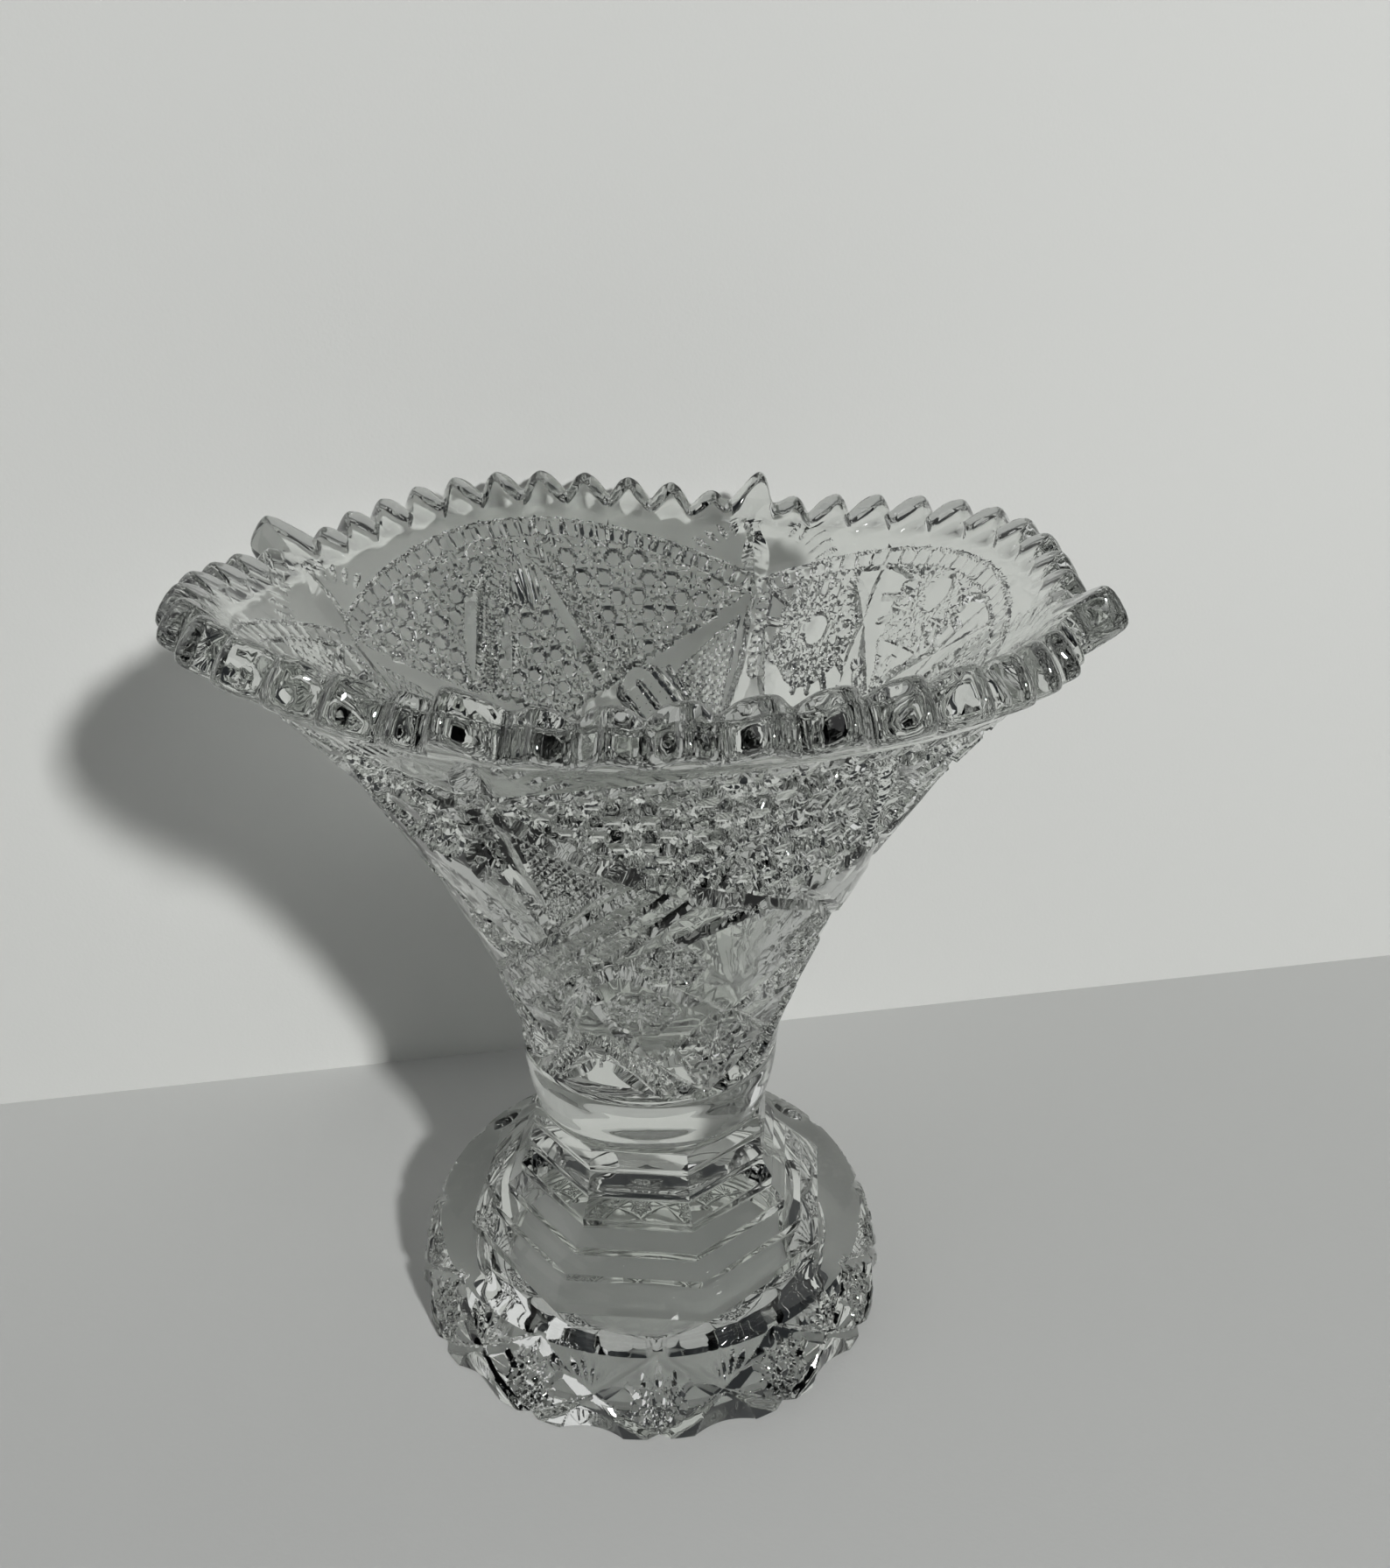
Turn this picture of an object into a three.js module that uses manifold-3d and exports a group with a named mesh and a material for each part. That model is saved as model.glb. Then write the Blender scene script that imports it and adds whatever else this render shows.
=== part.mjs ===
// Footed vase of pressed clear glass: a flared bowl with a saw-tooth rim,
// a smooth joining collar, and a stepped eight-sided foot with a cut skirt.
// Millimetres, +Z up, origin on the axis at the level of the table.
// Azimuths are degrees clockwise from +Y seen from above, so a rim point
// of azimuth a lies at (sin a, cos a).

import * as THREE from 'three';
import { mergeVertices } from 'three/addons/utils/BufferGeometryUtils.js';
import Module from 'manifold-3d';

const wasm = await Module();
wasm.setup();

// Overall sizes
const mouthRadius = 100;
const vaseHeight = 208;
const waistRadius = 34.6;
const waistHeight = 78;
const neckRadius = 32;
const collarHeight = 17;
const neckHeight = waistHeight - collarHeight;
const footRadius = 66.7;

// Glass thickness
const rimThickness = 8;
const lowerWall = 11;
const floorHeight = 89;
const footHollowRadius = 51;
const footHollowHeight = 40;

// Rim
const toothCount = 48;
const teethPerArch = 12;
const toothDepth = 5.2;
const rimBulge = 1.8;
const largeToothRise = 8;
const rimSlope = 30;
const lobeSwell = 0.027;
const lobeRise = 2.5;

// Foot
const footTurn = 9.4;
const footSides = 8;
const skirtHeight = 22;
const skirtStars = 12;
const skirtMitre = 2.2;

// Pattern of the bowl
const mitreDepth = 1.5;
const mitreWidth = 5.0;
const lineDepth = 0.9;
const lineWidth = 2.0;
const panelDepth = 1.0;
const buttonRadius = 2.9;
const buttonPitch = 6.6;
const buttonRise = 0.1;
const starButton = 4.4;

const columns = 48;
const glass = { color: 0xdfe3e0, roughness: 0.04, metalness: 0, transparent: true, opacity: 0.45 };
const archCount = toothCount / teethPerArch;
const archSpan = 360 / archCount;
const bowlHeight = vaseHeight - waistHeight;
const rad = Math.PI / 180;
const mix = (a, b, t) => a + (b - a) * t;
const clamp01 = (t) => Math.min(1, Math.max(0, t));
const smooth = (t) => clamp01(t) ** 2 * (3 - 2 * clamp01(t));

// Solids and meshes

function solidOf(geometry) {
  const bare = geometry.index ? geometry.toNonIndexed() : geometry.clone();
  for (const name of Object.keys(bare.attributes)) {
    if (name !== 'position') bare.deleteAttribute(name);
  }
  const merged = mergeVertices(bare, 1e-4);
  const position = merged.getAttribute('position');
  const index = merged.index.array;
  const triangles = [];
  for (let i = 0; i < index.length; i += 3) {
    const [a, b, c] = [index[i], index[i + 1], index[i + 2]];
    if (a !== b && b !== c && c !== a) triangles.push(a, b, c);
  }
  const make = (list) => new wasm.Manifold(new wasm.Mesh({
    numProp: 3,
    vertProperties: Float32Array.from(position.array),
    triVerts: Uint32Array.from(list),
  }));
  const solid = make(triangles);
  return solid.volume() > 0 ? solid : make(triangles.reverse());
}

function geometryOf(solid) {
  const mesh = solid.getMesh();
  const geometry = new THREE.BufferGeometry();
  geometry.setAttribute('position', new THREE.BufferAttribute(new Float32Array(mesh.vertProperties), 3));
  geometry.setIndex(new THREE.BufferAttribute(new Uint32Array(mesh.triVerts), 1));
  geometry.computeVertexNormals();
  return geometry;
}

function meshOf(name, solid) {
  const mesh = new THREE.Mesh(geometryOf(solid), new THREE.MeshStandardMaterial(glass));
  mesh.name = name;
  return mesh;
}

function joinAll(solids) {
  let level = solids;
  while (level.length > 1) {
    const next = [];
    for (let i = 0; i < level.length; i += 2) {
      next.push(i + 1 < level.length ? level[i].add(level[i + 1]) : level[i]);
    }
    level = next;
  }
  return level[0];
}

// A closed profile of [radius, height] turned round the z axis
function turned(profile, segments) {
  const points = profile.map(([r, z]) => new THREE.Vector2(Math.max(r, 0), z));
  const geometry = new THREE.LatheGeometry(points, segments);
  geometry.rotateX(Math.PI / 2);
  return geometry;
}

function reshaped(geometry, change) {
  const position = geometry.getAttribute('position');
  for (let i = 0; i < position.count; i++) {
    const [x, y, z] = change(position.getX(i), position.getY(i), position.getZ(i));
    position.setXYZ(i, x, y, z);
  }
  return geometry;
}

// A closed tube from rings of the same number of corners, capped from the rings' middles
function loftedRings(rings) {
  const count = rings[0].length;
  const middleOf = (ring) => [0, 1, 2].map((k) => ring.reduce((sum, p) => sum + p[k], 0) / count);
  const corners = [...rings.flat(), middleOf(rings[0]), middleOf(rings[rings.length - 1])];
  const ends = rings.length * count;
  const triangles = [];
  for (let i = 0; i + 1 < rings.length; i++) {
    for (let j = 0; j < count; j++) {
      const a = i * count + j;
      const b = i * count + (j + 1) % count;
      triangles.push(a, b, a + count, b, b + count, a + count);
    }
  }
  const last = ends - count;
  for (let j = 0; j < count; j++) {
    const next = (j + 1) % count;
    triangles.push(ends, next, j, ends + 1, last + j, last + next);
  }
  const geometry = new THREE.BufferGeometry();
  geometry.setAttribute('position', new THREE.Float32BufferAttribute(corners.flat(), 3));
  geometry.setIndex(triangles);
  return solidOf(geometry);
}

// Bowl wall: outside profile as parts of the radius and the height
const wallShape = [
  [0, 0], [0.023, 0.077], [0.087, 0.192], [0.18, 0.308], [0.289, 0.423], [0.401, 0.538],
  [0.546, 0.654], [0.722, 0.769], [0.847, 0.85], [0.965, 0.912], [1.061, 0.946],
];
const wallRows = 9;
const outer = new THREE.SplineCurve(wallShape.map(([fr, fz]) => new THREE.Vector2(
  mix(waistRadius, mouthRadius, fr),
  mix(waistHeight, vaseHeight, fz),
))).getSpacedPoints(wallRows);
const rimAlong = [Math.cos(rimSlope * rad), Math.sin(rimSlope * rad)];
const rimAcross = [-rimAlong[1], rimAlong[0]];

function outerRadius(z) {
  for (let i = 1; i < outer.length; i++) {
    if (z <= outer[i].y || i === outer.length - 1) {
      const t = (z - outer[i - 1].y) / (outer[i].y - outer[i - 1].y);
      return mix(outer[i - 1].x, outer[i].x, t);
    }
  }
  return outer[0].x;
}

// The mouth swells outwards and upwards between the large teeth
function lobed(x, y, z) {
  const azimuth = Math.atan2(x, y);
  const amount = smooth((z - mix(waistHeight, vaseHeight, 0.7)) / (0.3 * bowlHeight));
  const wave = Math.cos(archCount * azimuth) * amount;
  const grow = 1 - lobeSwell * wave;
  return [x * grow, y * grow, z - lobeRise * wave];
}

function largeTooth(x, y, z) {
  const azimuth = Math.atan2(x, y) / rad;
  const off = Math.abs(azimuth - archSpan * Math.round(azimuth / archSpan));
  const pitch = 360 / toothCount;
  const near = clamp01(1 - off / pitch);
  const top = clamp01((Math.hypot(x, y) - mouthRadius * 0.93) / (mouthRadius * 0.07)) ** 2;
  const push = largeToothRise * near * top * (z > mix(waistHeight, vaseHeight, 0.88) ? 1 : 0);
  const radius = Math.hypot(x, y);
  const grow = (radius + push * rimAlong[0]) / Math.max(radius, 1e-6);
  return [x * grow, y * grow, z + push * rimAlong[1]];
}

function bowlBlank() {
  const inner = [];
  for (let i = outer.length - 1; i >= 1; i--) {
    const before = outer[Math.max(i - 1, 0)];
    const after = outer[Math.min(i + 1, outer.length - 1)];
    const along = new THREE.Vector2().subVectors(after, before).normalize();
    const t = i / (outer.length - 1);
    const thick = mix(lowerWall, rimThickness, smooth(t));
    const normal = i === outer.length - 1 ? rimAcross : [-along.y, along.x];
    const r = outer[i].x + normal[0] * thick;
    const z = outer[i].y + normal[1] * thick;
    if (z > floorHeight + lowerWall * 0.82) inner.push([r, z]);
  }
  const lip = inner[0];
  const edge = [outer[outer.length - 1].x, outer[outer.length - 1].y];
  const cap = [0.2, 0.8].map((t) => [0, 1].map((k) => mix(edge[k], lip[k], t) + rimAlong[k] * rimBulge));
  const low = inner[inner.length - 1][0];
  const floor = [
    [low * 0.86, floorHeight + lowerWall * 0.29], [low * 0.6, floorHeight + lowerWall * 0.064], [0, floorHeight],
  ];
  const profile = [[0, waistHeight], ...outer.map((p) => [p.x, p.y]), ...cap, ...inner, ...floor];
  const geometry = turned(profile, columns);
  return solidOf(reshaped(geometry, (x, y, z) => lobed(...largeTooth(x, y, z))));
}

// One gap between two teeth, cut square to the wall
function toothGap(index) {
  const pitch = 360 / toothCount;
  const azimuth = (index + 0.5) * pitch;
  const half = mouthRadius * pitch * rad / 2;
  const over = largeToothRise + rimThickness * 0.5;
  const full = toothDepth + rimBulge;
  const side = (large) => (large
    ? [[0.12, 0], [0.6, 1]]
    : [[0.12, 0], [0.8, 1]]);
  const right = side((index + 1) % teethPerArch === 0).map(([u, v]) => [u * half, v]);
  const left = side(index % teethPerArch === 0).map(([u, v]) => [-u * half, v]);
  const leftTop = index % teethPerArch === 0 ? largeToothRise : 0;
  const rightTop = (index + 1) % teethPerArch === 0 ? largeToothRise : 0;
  const outline = [
    ...right.map(([u, v]) => [u, -toothDepth + v * (full + rightTop)]),
    [right[1][0], over],
    [left[1][0], over],
    ...left.reverse().map(([u, v]) => [u, -toothDepth + v * (full + leftTop)]),
  ];
  const middle = [
    outer[outer.length - 1].x + rimAcross[0] * rimThickness / 2,
    outer[outer.length - 1].y + rimAcross[1] * rimThickness / 2,
  ];
  const [s, c] = [Math.sin(azimuth * rad), Math.cos(azimuth * rad)];
  const rings = [-1, 1].map((face) => outline.map(([u, v]) => {
    const w = face * rimThickness * 1.1;
    const r = middle[0] + rimAlong[0] * v + rimAcross[0] * w;
    const z = middle[1] + rimAlong[1] * v + rimAcross[1] * w;
    return lobed(r * s + u * c, r * c - u * s, z);
  }));
  return loftedRings(rings);
}

// Outside surface of the bowl at an azimuth and a part of the bowl's height
function onBowl(azimuth, part) {
  const z = mix(waistHeight, vaseHeight, part);
  const step = 0.5;
  const slope = (outerRadius(z + step) - outerRadius(z - step)) / (2 * step);
  const size = Math.hypot(1, slope);
  const radius = outerRadius(z);
  const [s, c] = [Math.sin(azimuth * rad), Math.cos(azimuth * rad)];
  return {
    point: new THREE.Vector3(radius * s, radius * c, z),
    normal: new THREE.Vector3(s / size, c / size, -slope / size),
  };
}

// A V-shaped mitre cut along a path of surface points, pointed at its ends if asked
function mitreCut(path, width, depth, pointed = false, bend = (x, y, z) => [x, y, z]) {
  const lift = depth * 0.5;
  const rings = path.map(({ point, normal }, i) => {
    const before = path[Math.max(i - 1, 0)].point;
    const after = path[Math.min(i + 1, path.length - 1)].point;
    const along = new THREE.Vector3().subVectors(after, before).normalize();
    const across = new THREE.Vector3().crossVectors(normal, along).normalize();
    const t = i / (path.length - 1);
    const share = pointed ? mix(0.08, 1, Math.sin(Math.PI * t)) : 1;
    const half = width / 2 * share * (depth + lift) / depth;
    const corner = (a, n) => {
      const p = point.clone().addScaledVector(across, a).addScaledVector(normal, n);
      return bend(p.x, p.y, p.z);
    };
    return [corner(0, -depth * share), corner(half, lift), corner(-half, lift)];
  });
  return loftedRings(rings);
}

function bowlCut(stops, width, depth, pointed = false) {
  const path = [];
  for (let i = 1; i < stops.length; i++) {
    const [a0, h0] = stops[i - 1];
    const [a1, h1] = stops[i];
    const radius = outerRadius(mix(waistHeight, vaseHeight, (h0 + h1) / 2));
    const length = Math.hypot((a1 - a0) * rad * radius, (h1 - h0) * bowlHeight);
    const count = Math.max(pointed ? Math.ceil(4 / (stops.length - 1)) : 1, Math.round(length / 20));
    for (let k = i === 1 ? 0 : 1; k <= count; k++) {
      path.push(onBowl(mix(a0, a1, k / count), mix(h0, h1, k / count)));
    }
  }
  return mitreCut(path, width, depth, pointed, lobed);
}

// Flat-topped raised button on the outside
function button(azimuth, part, radius, sides, rise) {
  const { point, normal } = onBowl(azimuth, part);
  const up = new THREE.Vector3(0, 0, 1);
  const across = new THREE.Vector3().crossVectors(up, normal).normalize();
  const along = new THREE.Vector3().crossVectors(normal, across);
  const rings = [[1.3, -panelDepth * 1.6], [0.8, rise]].map(([size, height]) => {
    const ring = [];
    for (let i = 0; i < sides; i++) {
      const angle = 2 * Math.PI * i / sides;
      const p = point.clone().addScaledVector(normal, height)
        .addScaledVector(across, Math.cos(angle) * radius * size)
        .addScaledVector(along, Math.sin(angle) * radius * size);
      ring.push(lobed(p.x, p.y, p.z));
    }
    return ring;
  });
  return loftedRings(rings);
}

// The two kinds of arch: half width at the feet, and the lower edge of the sunk panel
const archKinds = [
  { half: archSpan * 0.45, foot: [[0, 0.635], [15, 0.635], [24, 0.62], [33, 0.68], [38, 0.76]] },
  { half: archSpan * 0.55, foot: [[0, 0.528], [14, 0.577], [24, 0.618], [42, 0.715], [48, 0.78]] },
];
const archTop = (offset, half) => 0.892 - 0.104 * (Math.abs(offset) / half) ** 2.2;

function between(stops, x) {
  const i = Math.max(1, stops.findIndex(([at]) => at >= Math.abs(x)));
  const [[a, va], [b, vb]] = [stops[i - 1], stops[i]];
  return mix(va, vb, clamp01((Math.abs(x) - a) / (b - a)));
}

// The ground of the pattern under an arch, sunk below the plain glass
function sunkPanel(middle, kind) {
  const { half, foot } = archKinds[kind];
  const step = 360 / columns;
  const reach = Math.floor((half - 1) / step) * step;
  const levels = 3;
  const rings = [];
  for (let offset = -reach; offset <= reach + 0.01; offset += step) {
    const low = between(foot, offset);
    const top = Math.max(archTop(offset, half), low + 0.012);
    const at = (t, n) => {
      const { point, normal } = onBowl(middle + offset, mix(low, top, t));
      const p = point.addScaledVector(normal, n);
      return lobed(p.x, p.y, p.z);
    };
    const ring = [];
    for (let k = 0; k <= levels; k++) ring.push(at(k / levels, -panelDepth));
    for (const t of [1, 0.5, 0]) ring.push(at(t, panelDepth * 3));
    rings.push(ring);
  }
  return loftedRings(rings);
}

function archBorder(middle, half) {
  const stops = [];
  for (let share = -0.94; share <= 0.95; share += 0.3133333) {
    stops.push([middle + share * half, archTop(share * half, half)]);
  }
  return bowlCut(stops, lineWidth, lineDepth);
}

// Leaf and fans under a large tooth, leaning away from the wider arch
function leafAndFans(azimuth, lean) {
  const cuts = [bowlCut([[azimuth + lean * 4.5, 0.795], [azimuth, 0.927]], mitreWidth * 1.2, mitreDepth * 1.2, true)];
  for (const side of [-1, 1]) {
    cuts.push(bowlCut([[azimuth + side * 7.5, 0.866], [azimuth + side * 12, 0.9]], lineWidth, lineDepth, true));
  }
  return cuts;
}

// Six-sided buttons on a triangular lattice, with every third place left for a star
function buttons(middle, kind, keep) {
  const { half, foot } = archKinds[kind];
  const made = [];
  const centre = 0.754;
  for (let row = -5; row <= 3; row += 2) {
    for (let place = -9; place <= 9; place++) {
      if ((((place - row) % 3) + 3) % 3 === 0) continue;
      const part = centre + row * buttonPitch * 0.866 * 0.6 / bowlHeight;
      const radius = outerRadius(mix(waistHeight, vaseHeight, part));
      const offset = (place + row / 2) * buttonPitch / (radius * rad);
      if (Math.abs(offset) > half - 8) continue;
      if (part > archTop(offset, half) - 0.045 || part < between(foot, offset) + 0.062) continue;
      if (keep(offset, part)) made.push(button(middle + offset, part, buttonRadius, 6, buttonRise));
    }
  }
  return made;
}

// Mitres, ribs and blades that sweep out of the wider arches and cross below the others
function crossingRibs(middle) {
  const at = ([offset, part]) => [middle + offset * archSpan / 90, part];
  const cut = (stops, width, depth, pointed) => bowlCut(stops.map(at), mitreWidth * width, mitreDepth * depth, pointed);
  const cuts = [];
  for (const side of [-1, 1]) {
    const mirrored = (stops) => stops.map(([offset, part]) => [side * offset, part]);
    cuts.push(cut(mirrored([[48, 0.78], [42, 0.715], [24, 0.618], [14, 0.577], [1, 0.531]]), 1.2, 1.2));
    cuts.push(cut(mirrored([[-1, 0.525], [-17, 0.473], [-26, 0.423]]), 1, 1.1));
    cuts.push(cut(mirrored([[49.5, 0.77], [51, 0.62], [49.5, 0.51]]), 1, 1.1));
  }
  cuts.push(cut([[1, 0.875], [7, 0.8], [11.6, 0.723], [19, 0.625]], 1, 1));
  cuts.push(cut([[26, 0.585], [33, 0.525], [47, 0.43], [62, 0.335], [73, 0.27]], 1.5, 0.8));
  cuts.push(cut([[0.7, 0.872], [5, 0.78], [13.7, 0.59]], 0.9, 1.2, true));
  cuts.push(cut([[-4, 0.87], [-12, 0.79], [-21.5, 0.655]], 1.1, 1.2, true));
  cuts.push(cut([[-24, 0.6], [-33, 0.545], [-43, 0.49]], 1.2, 1.2, true));
  return cuts;
}

// The V with its star between the crossing ribs and the collar
function lowerMitres(middle) {
  const cuts = [];
  for (const side of [-1, 1]) {
    const at = ([offset, part]) => [middle + side * offset * archSpan / 90, part];
    cuts.push(bowlCut([[1, 0.02], [14, 0.055], [27, 0.115], [38, 0.235]].map(at), mitreWidth * 0.85, mitreDepth * 1.1));
  }
  return cuts;
}

// Star of crossing cuts round a flat button
function hobstar(azimuth, part, reach, rays) {
  const cuts = [];
  const radius = outerRadius(mix(waistHeight, vaseHeight, part));
  for (let ray = 0; ray < rays; ray++) {
    const angle = Math.PI * (ray + 0.5) / rays;
    const da = Math.sin(angle) * reach / (radius * rad);
    const dh = Math.cos(angle) * reach / bowlHeight * 0.62;
    cuts.push(bowlCut([[azimuth - da, part - dh], [azimuth + da, part + dh]], lineWidth, lineDepth * 1.9, true));
  }
  return cuts;
}

function bowl() {
  const cuts = [];
  const panels = [];
  const raised = [];
  for (let index = 0; index < toothCount; index++) cuts.push(toothGap(index));
  for (let arch = 0; arch < archCount; arch++) {
    const middle = (arch + 0.5) * archSpan;
    const kind = arch % 2;
    const at = (offset) => middle + offset * archSpan / 90;
    cuts.push(...leafAndFans(arch * archSpan, kind ? -1 : 1));
    cuts.push(archBorder(middle, archKinds[kind].half));
    cuts.push(...lowerMitres(middle));
    panels.push(sunkPanel(middle, kind));
    if (kind === 0) {
      for (const [offset, part] of [[0, 0.835], [-24, 0.725], [24, 0.725]]) {
        cuts.push(...hobstar(at(offset), part, 10, 3));
        raised.push(button(at(offset), part, starButton, 8, buttonRise));
      }
      for (const side of [-1, 1]) {
        cuts.push(bowlCut([
          [at(side * 21), 0.835], [at(side * 12.6), 0.757], [at(side * 1), 0.65],
        ], mitreWidth * 1.2, mitreDepth * 1.3, true));
      }
    } else {
      cuts.push(...crossingRibs(middle));
      const clear = (offset, part) => {
        const up = (0.892 - part) / 0.3;
        return offset > 5 + 24 * up || offset < -7 - 19 * up;
      };
      raised.push(...buttons(middle, kind, clear));
    }
  }
  return bowlBlank().subtract(joinAll(panels)).add(joinAll(raised)).subtract(joinAll(cuts));
}

// Collar: smooth ring between the bowl and the foot
function collar() {
  const shape = [[1, 0], [0.95, 0.25], [0.6, 0.6], [0.1, 0.88], [0, 1]];
  const side = shape.map(([f, t]) => [
    mix(waistRadius, neckRadius, 1 - f),
    mix(waistHeight, neckHeight, t),
  ]);
  return solidOf(turned([[0, neckHeight], ...side.reverse(), [0, waistHeight]], columns));
}

// Foot: stepped eight-sided dome, corner radius and height of every step's edge
const steps = [
  [0.495, 1], [0.506, 0.86], [0.523, 0.68], [0.566, 0.497], [0.625, 0.335], [0.7, 0.215], [0.785, 0.077],
];
const ledges = [0, 0.009, 0.015, 0.0255, 0.0315, 0.036, 0.039];

function steppedDome() {
  const top = (t) => mix(skirtHeight, neckHeight, t);
  const profile = [[0, neckHeight]];
  steps.forEach(([f, t], i) => {
    const r = footRadius * f;
    if (i) profile.push([r - footRadius * ledges[i], top(t) + footRadius * 0.0045]);
    profile.push([r, top(t)]);
  });
  profile.push([footRadius * 0.795, skirtHeight * 0.86], [0, skirtHeight * 0.86]);
  const geometry = turned(profile.reverse(), footSides);
  geometry.rotateZ(-footTurn * rad);
  return solidOf(geometry);
}

function skirtRadius(z) {
  const t = Math.max(z, 0) / skirtHeight;
  return footRadius * (1 - 0.012 * t - 0.09 * t ** 2.6);
}

function skirt() {
  const side = [0, 0.45, 0.8, 0.95].map((t) => [skirtRadius(t * skirtHeight), t * skirtHeight]);
  const profile = [[0, 0], ...side, [footRadius * 0.86, skirtHeight], [0, skirtHeight]];
  const geometry = turned(profile, columns);
  geometry.rotateZ(-footTurn * rad);
  return solidOf(geometry);
}

function onSkirt(azimuth, part) {
  const z = part * skirtHeight;
  const slope = (skirtRadius(z + 0.3) - skirtRadius(z - 0.3)) / 0.6;
  const size = Math.hypot(1, slope);
  const [s, c] = [Math.sin(azimuth * rad), Math.cos(azimuth * rad)];
  const radius = skirtRadius(z);
  return {
    point: new THREE.Vector3(radius * s, radius * c, z),
    normal: new THREE.Vector3(s / size, c / size, -slope / size),
  };
}

function skirtCut(from, to, count, width, depth, pointed = false) {
  const path = [];
  for (let k = 0; k <= count; k++) {
    path.push(onSkirt(mix(from[0], to[0], k / count), mix(from[1], to[1], k / count)));
  }
  return mitreCut(path, width, depth, pointed);
}

// Hollow scoop at the lower edge between two stars
function scoop(azimuth) {
  const radius = footRadius * 0.21;
  const depth = footRadius * 0.039;
  const middle = skirtHeight / 2;
  const geometry = new THREE.CylinderGeometry(radius, radius, skirtHeight * 1.8, 14);
  geometry.rotateX(Math.PI / 2);
  const lean = Math.atan2(depth - footRadius + skirtRadius(middle) + depth * 0.12, middle);
  geometry.rotateX(-lean);
  geometry.translate(0, footRadius + radius - depth, 0);
  geometry.rotateZ(-azimuth * rad);
  return solidOf(geometry);
}

function foot() {
  const hollow = [
    [0, -1], [footHollowRadius, -1], [footHollowRadius, 0], [footHollowRadius * 0.93, footHollowHeight * 0.32],
    [footHollowRadius * 0.72, footHollowHeight * 0.67], [footHollowRadius * 0.4, footHollowHeight * 0.93],
    [0, footHollowHeight],
  ];
  const spacing = 360 / skirtStars;
  const cuts = [solidOf(turned(hollow, columns))];
  for (let star = 0; star < skirtStars; star++) {
    const apex = footTurn + star * spacing;
    for (const side of [-1, 1]) {
      cuts.push(skirtCut([apex, 0.98], [apex + side * spacing, -0.02], 4, 3.6, skirtMitre));
    }
    cuts.push(skirtCut([apex - 6.5, 0.46], [apex + 6.5, 0.46], 2, lineWidth, lineDepth, true));
    cuts.push(skirtCut([apex, 0.2], [apex, 0.75], 2, lineWidth, lineDepth, true));
    cuts.push(scoop(apex + spacing / 2));
  }
  return steppedDome().add(skirt()).subtract(joinAll(cuts));
}

const vase = new THREE.Group();
vase.add(meshOf('bowl', bowl()));
vase.add(meshOf('collar', collar()));
vase.add(meshOf('foot', foot()));

export default vase;
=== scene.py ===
"""Footed vase of pressed clear glass, dressed for the camera.

The vase is three pieces of glass: a flared bowl with a saw-tooth rim and an
imitation-cut pattern, a smooth joining collar, and a stepped eight-sided foot
with a cut skirt. Each piece is one closed mesh. Its relief follows a rule, so
it is made as a sector and repeated round the axis by Geometry Nodes.

Sizes are in millimetres until a mesh is made. An azimuth is in degrees,
clockwise from +Y seen from above.
"""

import logging
import math
from dataclasses import dataclass, field, replace
from enum import Enum

import bpy
import numpy as np
from bpy.types import Camera, Light, Material, Mesh, Node, NodeSocket, NodeTree, Object, World
from mathutils import Matrix, Vector


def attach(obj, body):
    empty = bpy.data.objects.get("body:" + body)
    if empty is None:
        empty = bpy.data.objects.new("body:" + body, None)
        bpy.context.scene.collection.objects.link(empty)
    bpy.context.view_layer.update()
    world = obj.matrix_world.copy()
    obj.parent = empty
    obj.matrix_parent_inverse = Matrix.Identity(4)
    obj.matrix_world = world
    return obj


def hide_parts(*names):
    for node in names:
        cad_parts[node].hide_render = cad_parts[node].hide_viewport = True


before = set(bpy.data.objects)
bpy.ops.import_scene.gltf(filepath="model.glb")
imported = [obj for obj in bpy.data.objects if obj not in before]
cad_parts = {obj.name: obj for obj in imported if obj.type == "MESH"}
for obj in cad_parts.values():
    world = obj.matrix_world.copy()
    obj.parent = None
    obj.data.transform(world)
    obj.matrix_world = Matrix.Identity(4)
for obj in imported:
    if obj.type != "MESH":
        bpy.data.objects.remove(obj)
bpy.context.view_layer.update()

log = logging.getLogger("vase")
MM = 0.001
FAR = 1e9  # Farther away than anything on the vase.
TRACE = 0.02  # A shallower cut leaves no mark.
Grid = np.ndarray
Stops = tuple[tuple[float, float], ...]


def linear(hex_colour: str) -> tuple[float, float, float, float]:
    """Turns an sRGB hex colour into linear RGBA.

    Args:
        hex_colour: six hex digits, such as "F2F4F1".

    Returns:
        The linear red, green, blue and an alpha of 1.
    """
    parts = [int(hex_colour[i:i + 2], 16) / 255 for i in (0, 2, 4)]
    return (*(p / 12.92 if p <= 0.04045 else ((p + 0.055) / 1.055) ** 2.4 for p in parts), 1.0)


def smooth(t: Grid | float) -> Grid:
    """A smooth step from 0 to 1 as t goes from 0 to 1."""
    t = np.clip(t, 0.0, 1.0)
    return t * t * (3 - 2 * t)


def triangle_wave(t: Grid) -> Grid:
    """A zigzag of period 1 that is 0 at whole numbers and 1 half way between."""
    return 1 - np.abs(2 * (t - np.floor(t)) - 1)


def nearness(distance: Grid, width: float) -> Grid:
    """1 at no distance, falling evenly to 0 at a width."""
    return np.clip(1 - distance / width, 0, 1)


def folded(angle: Grid, sector: float) -> Grid:
    """The angle from the middle of the nearest of equal sectors, 0 or more."""
    return np.abs((angle + sector / 2) % sector - sector / 2)


def degrees_from(azimuth: Grid, centre: float) -> Grid:
    """Degrees clockwise from a centre, between -180 and 180."""
    return (azimuth - centre + 180) % 360 - 180


def squared_off(wave: Grid, power: float) -> Grid:
    """A sine or cosine raised to a power with its sign kept, which squares a circle off."""
    return np.sign(wave) * np.abs(wave) ** power


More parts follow.
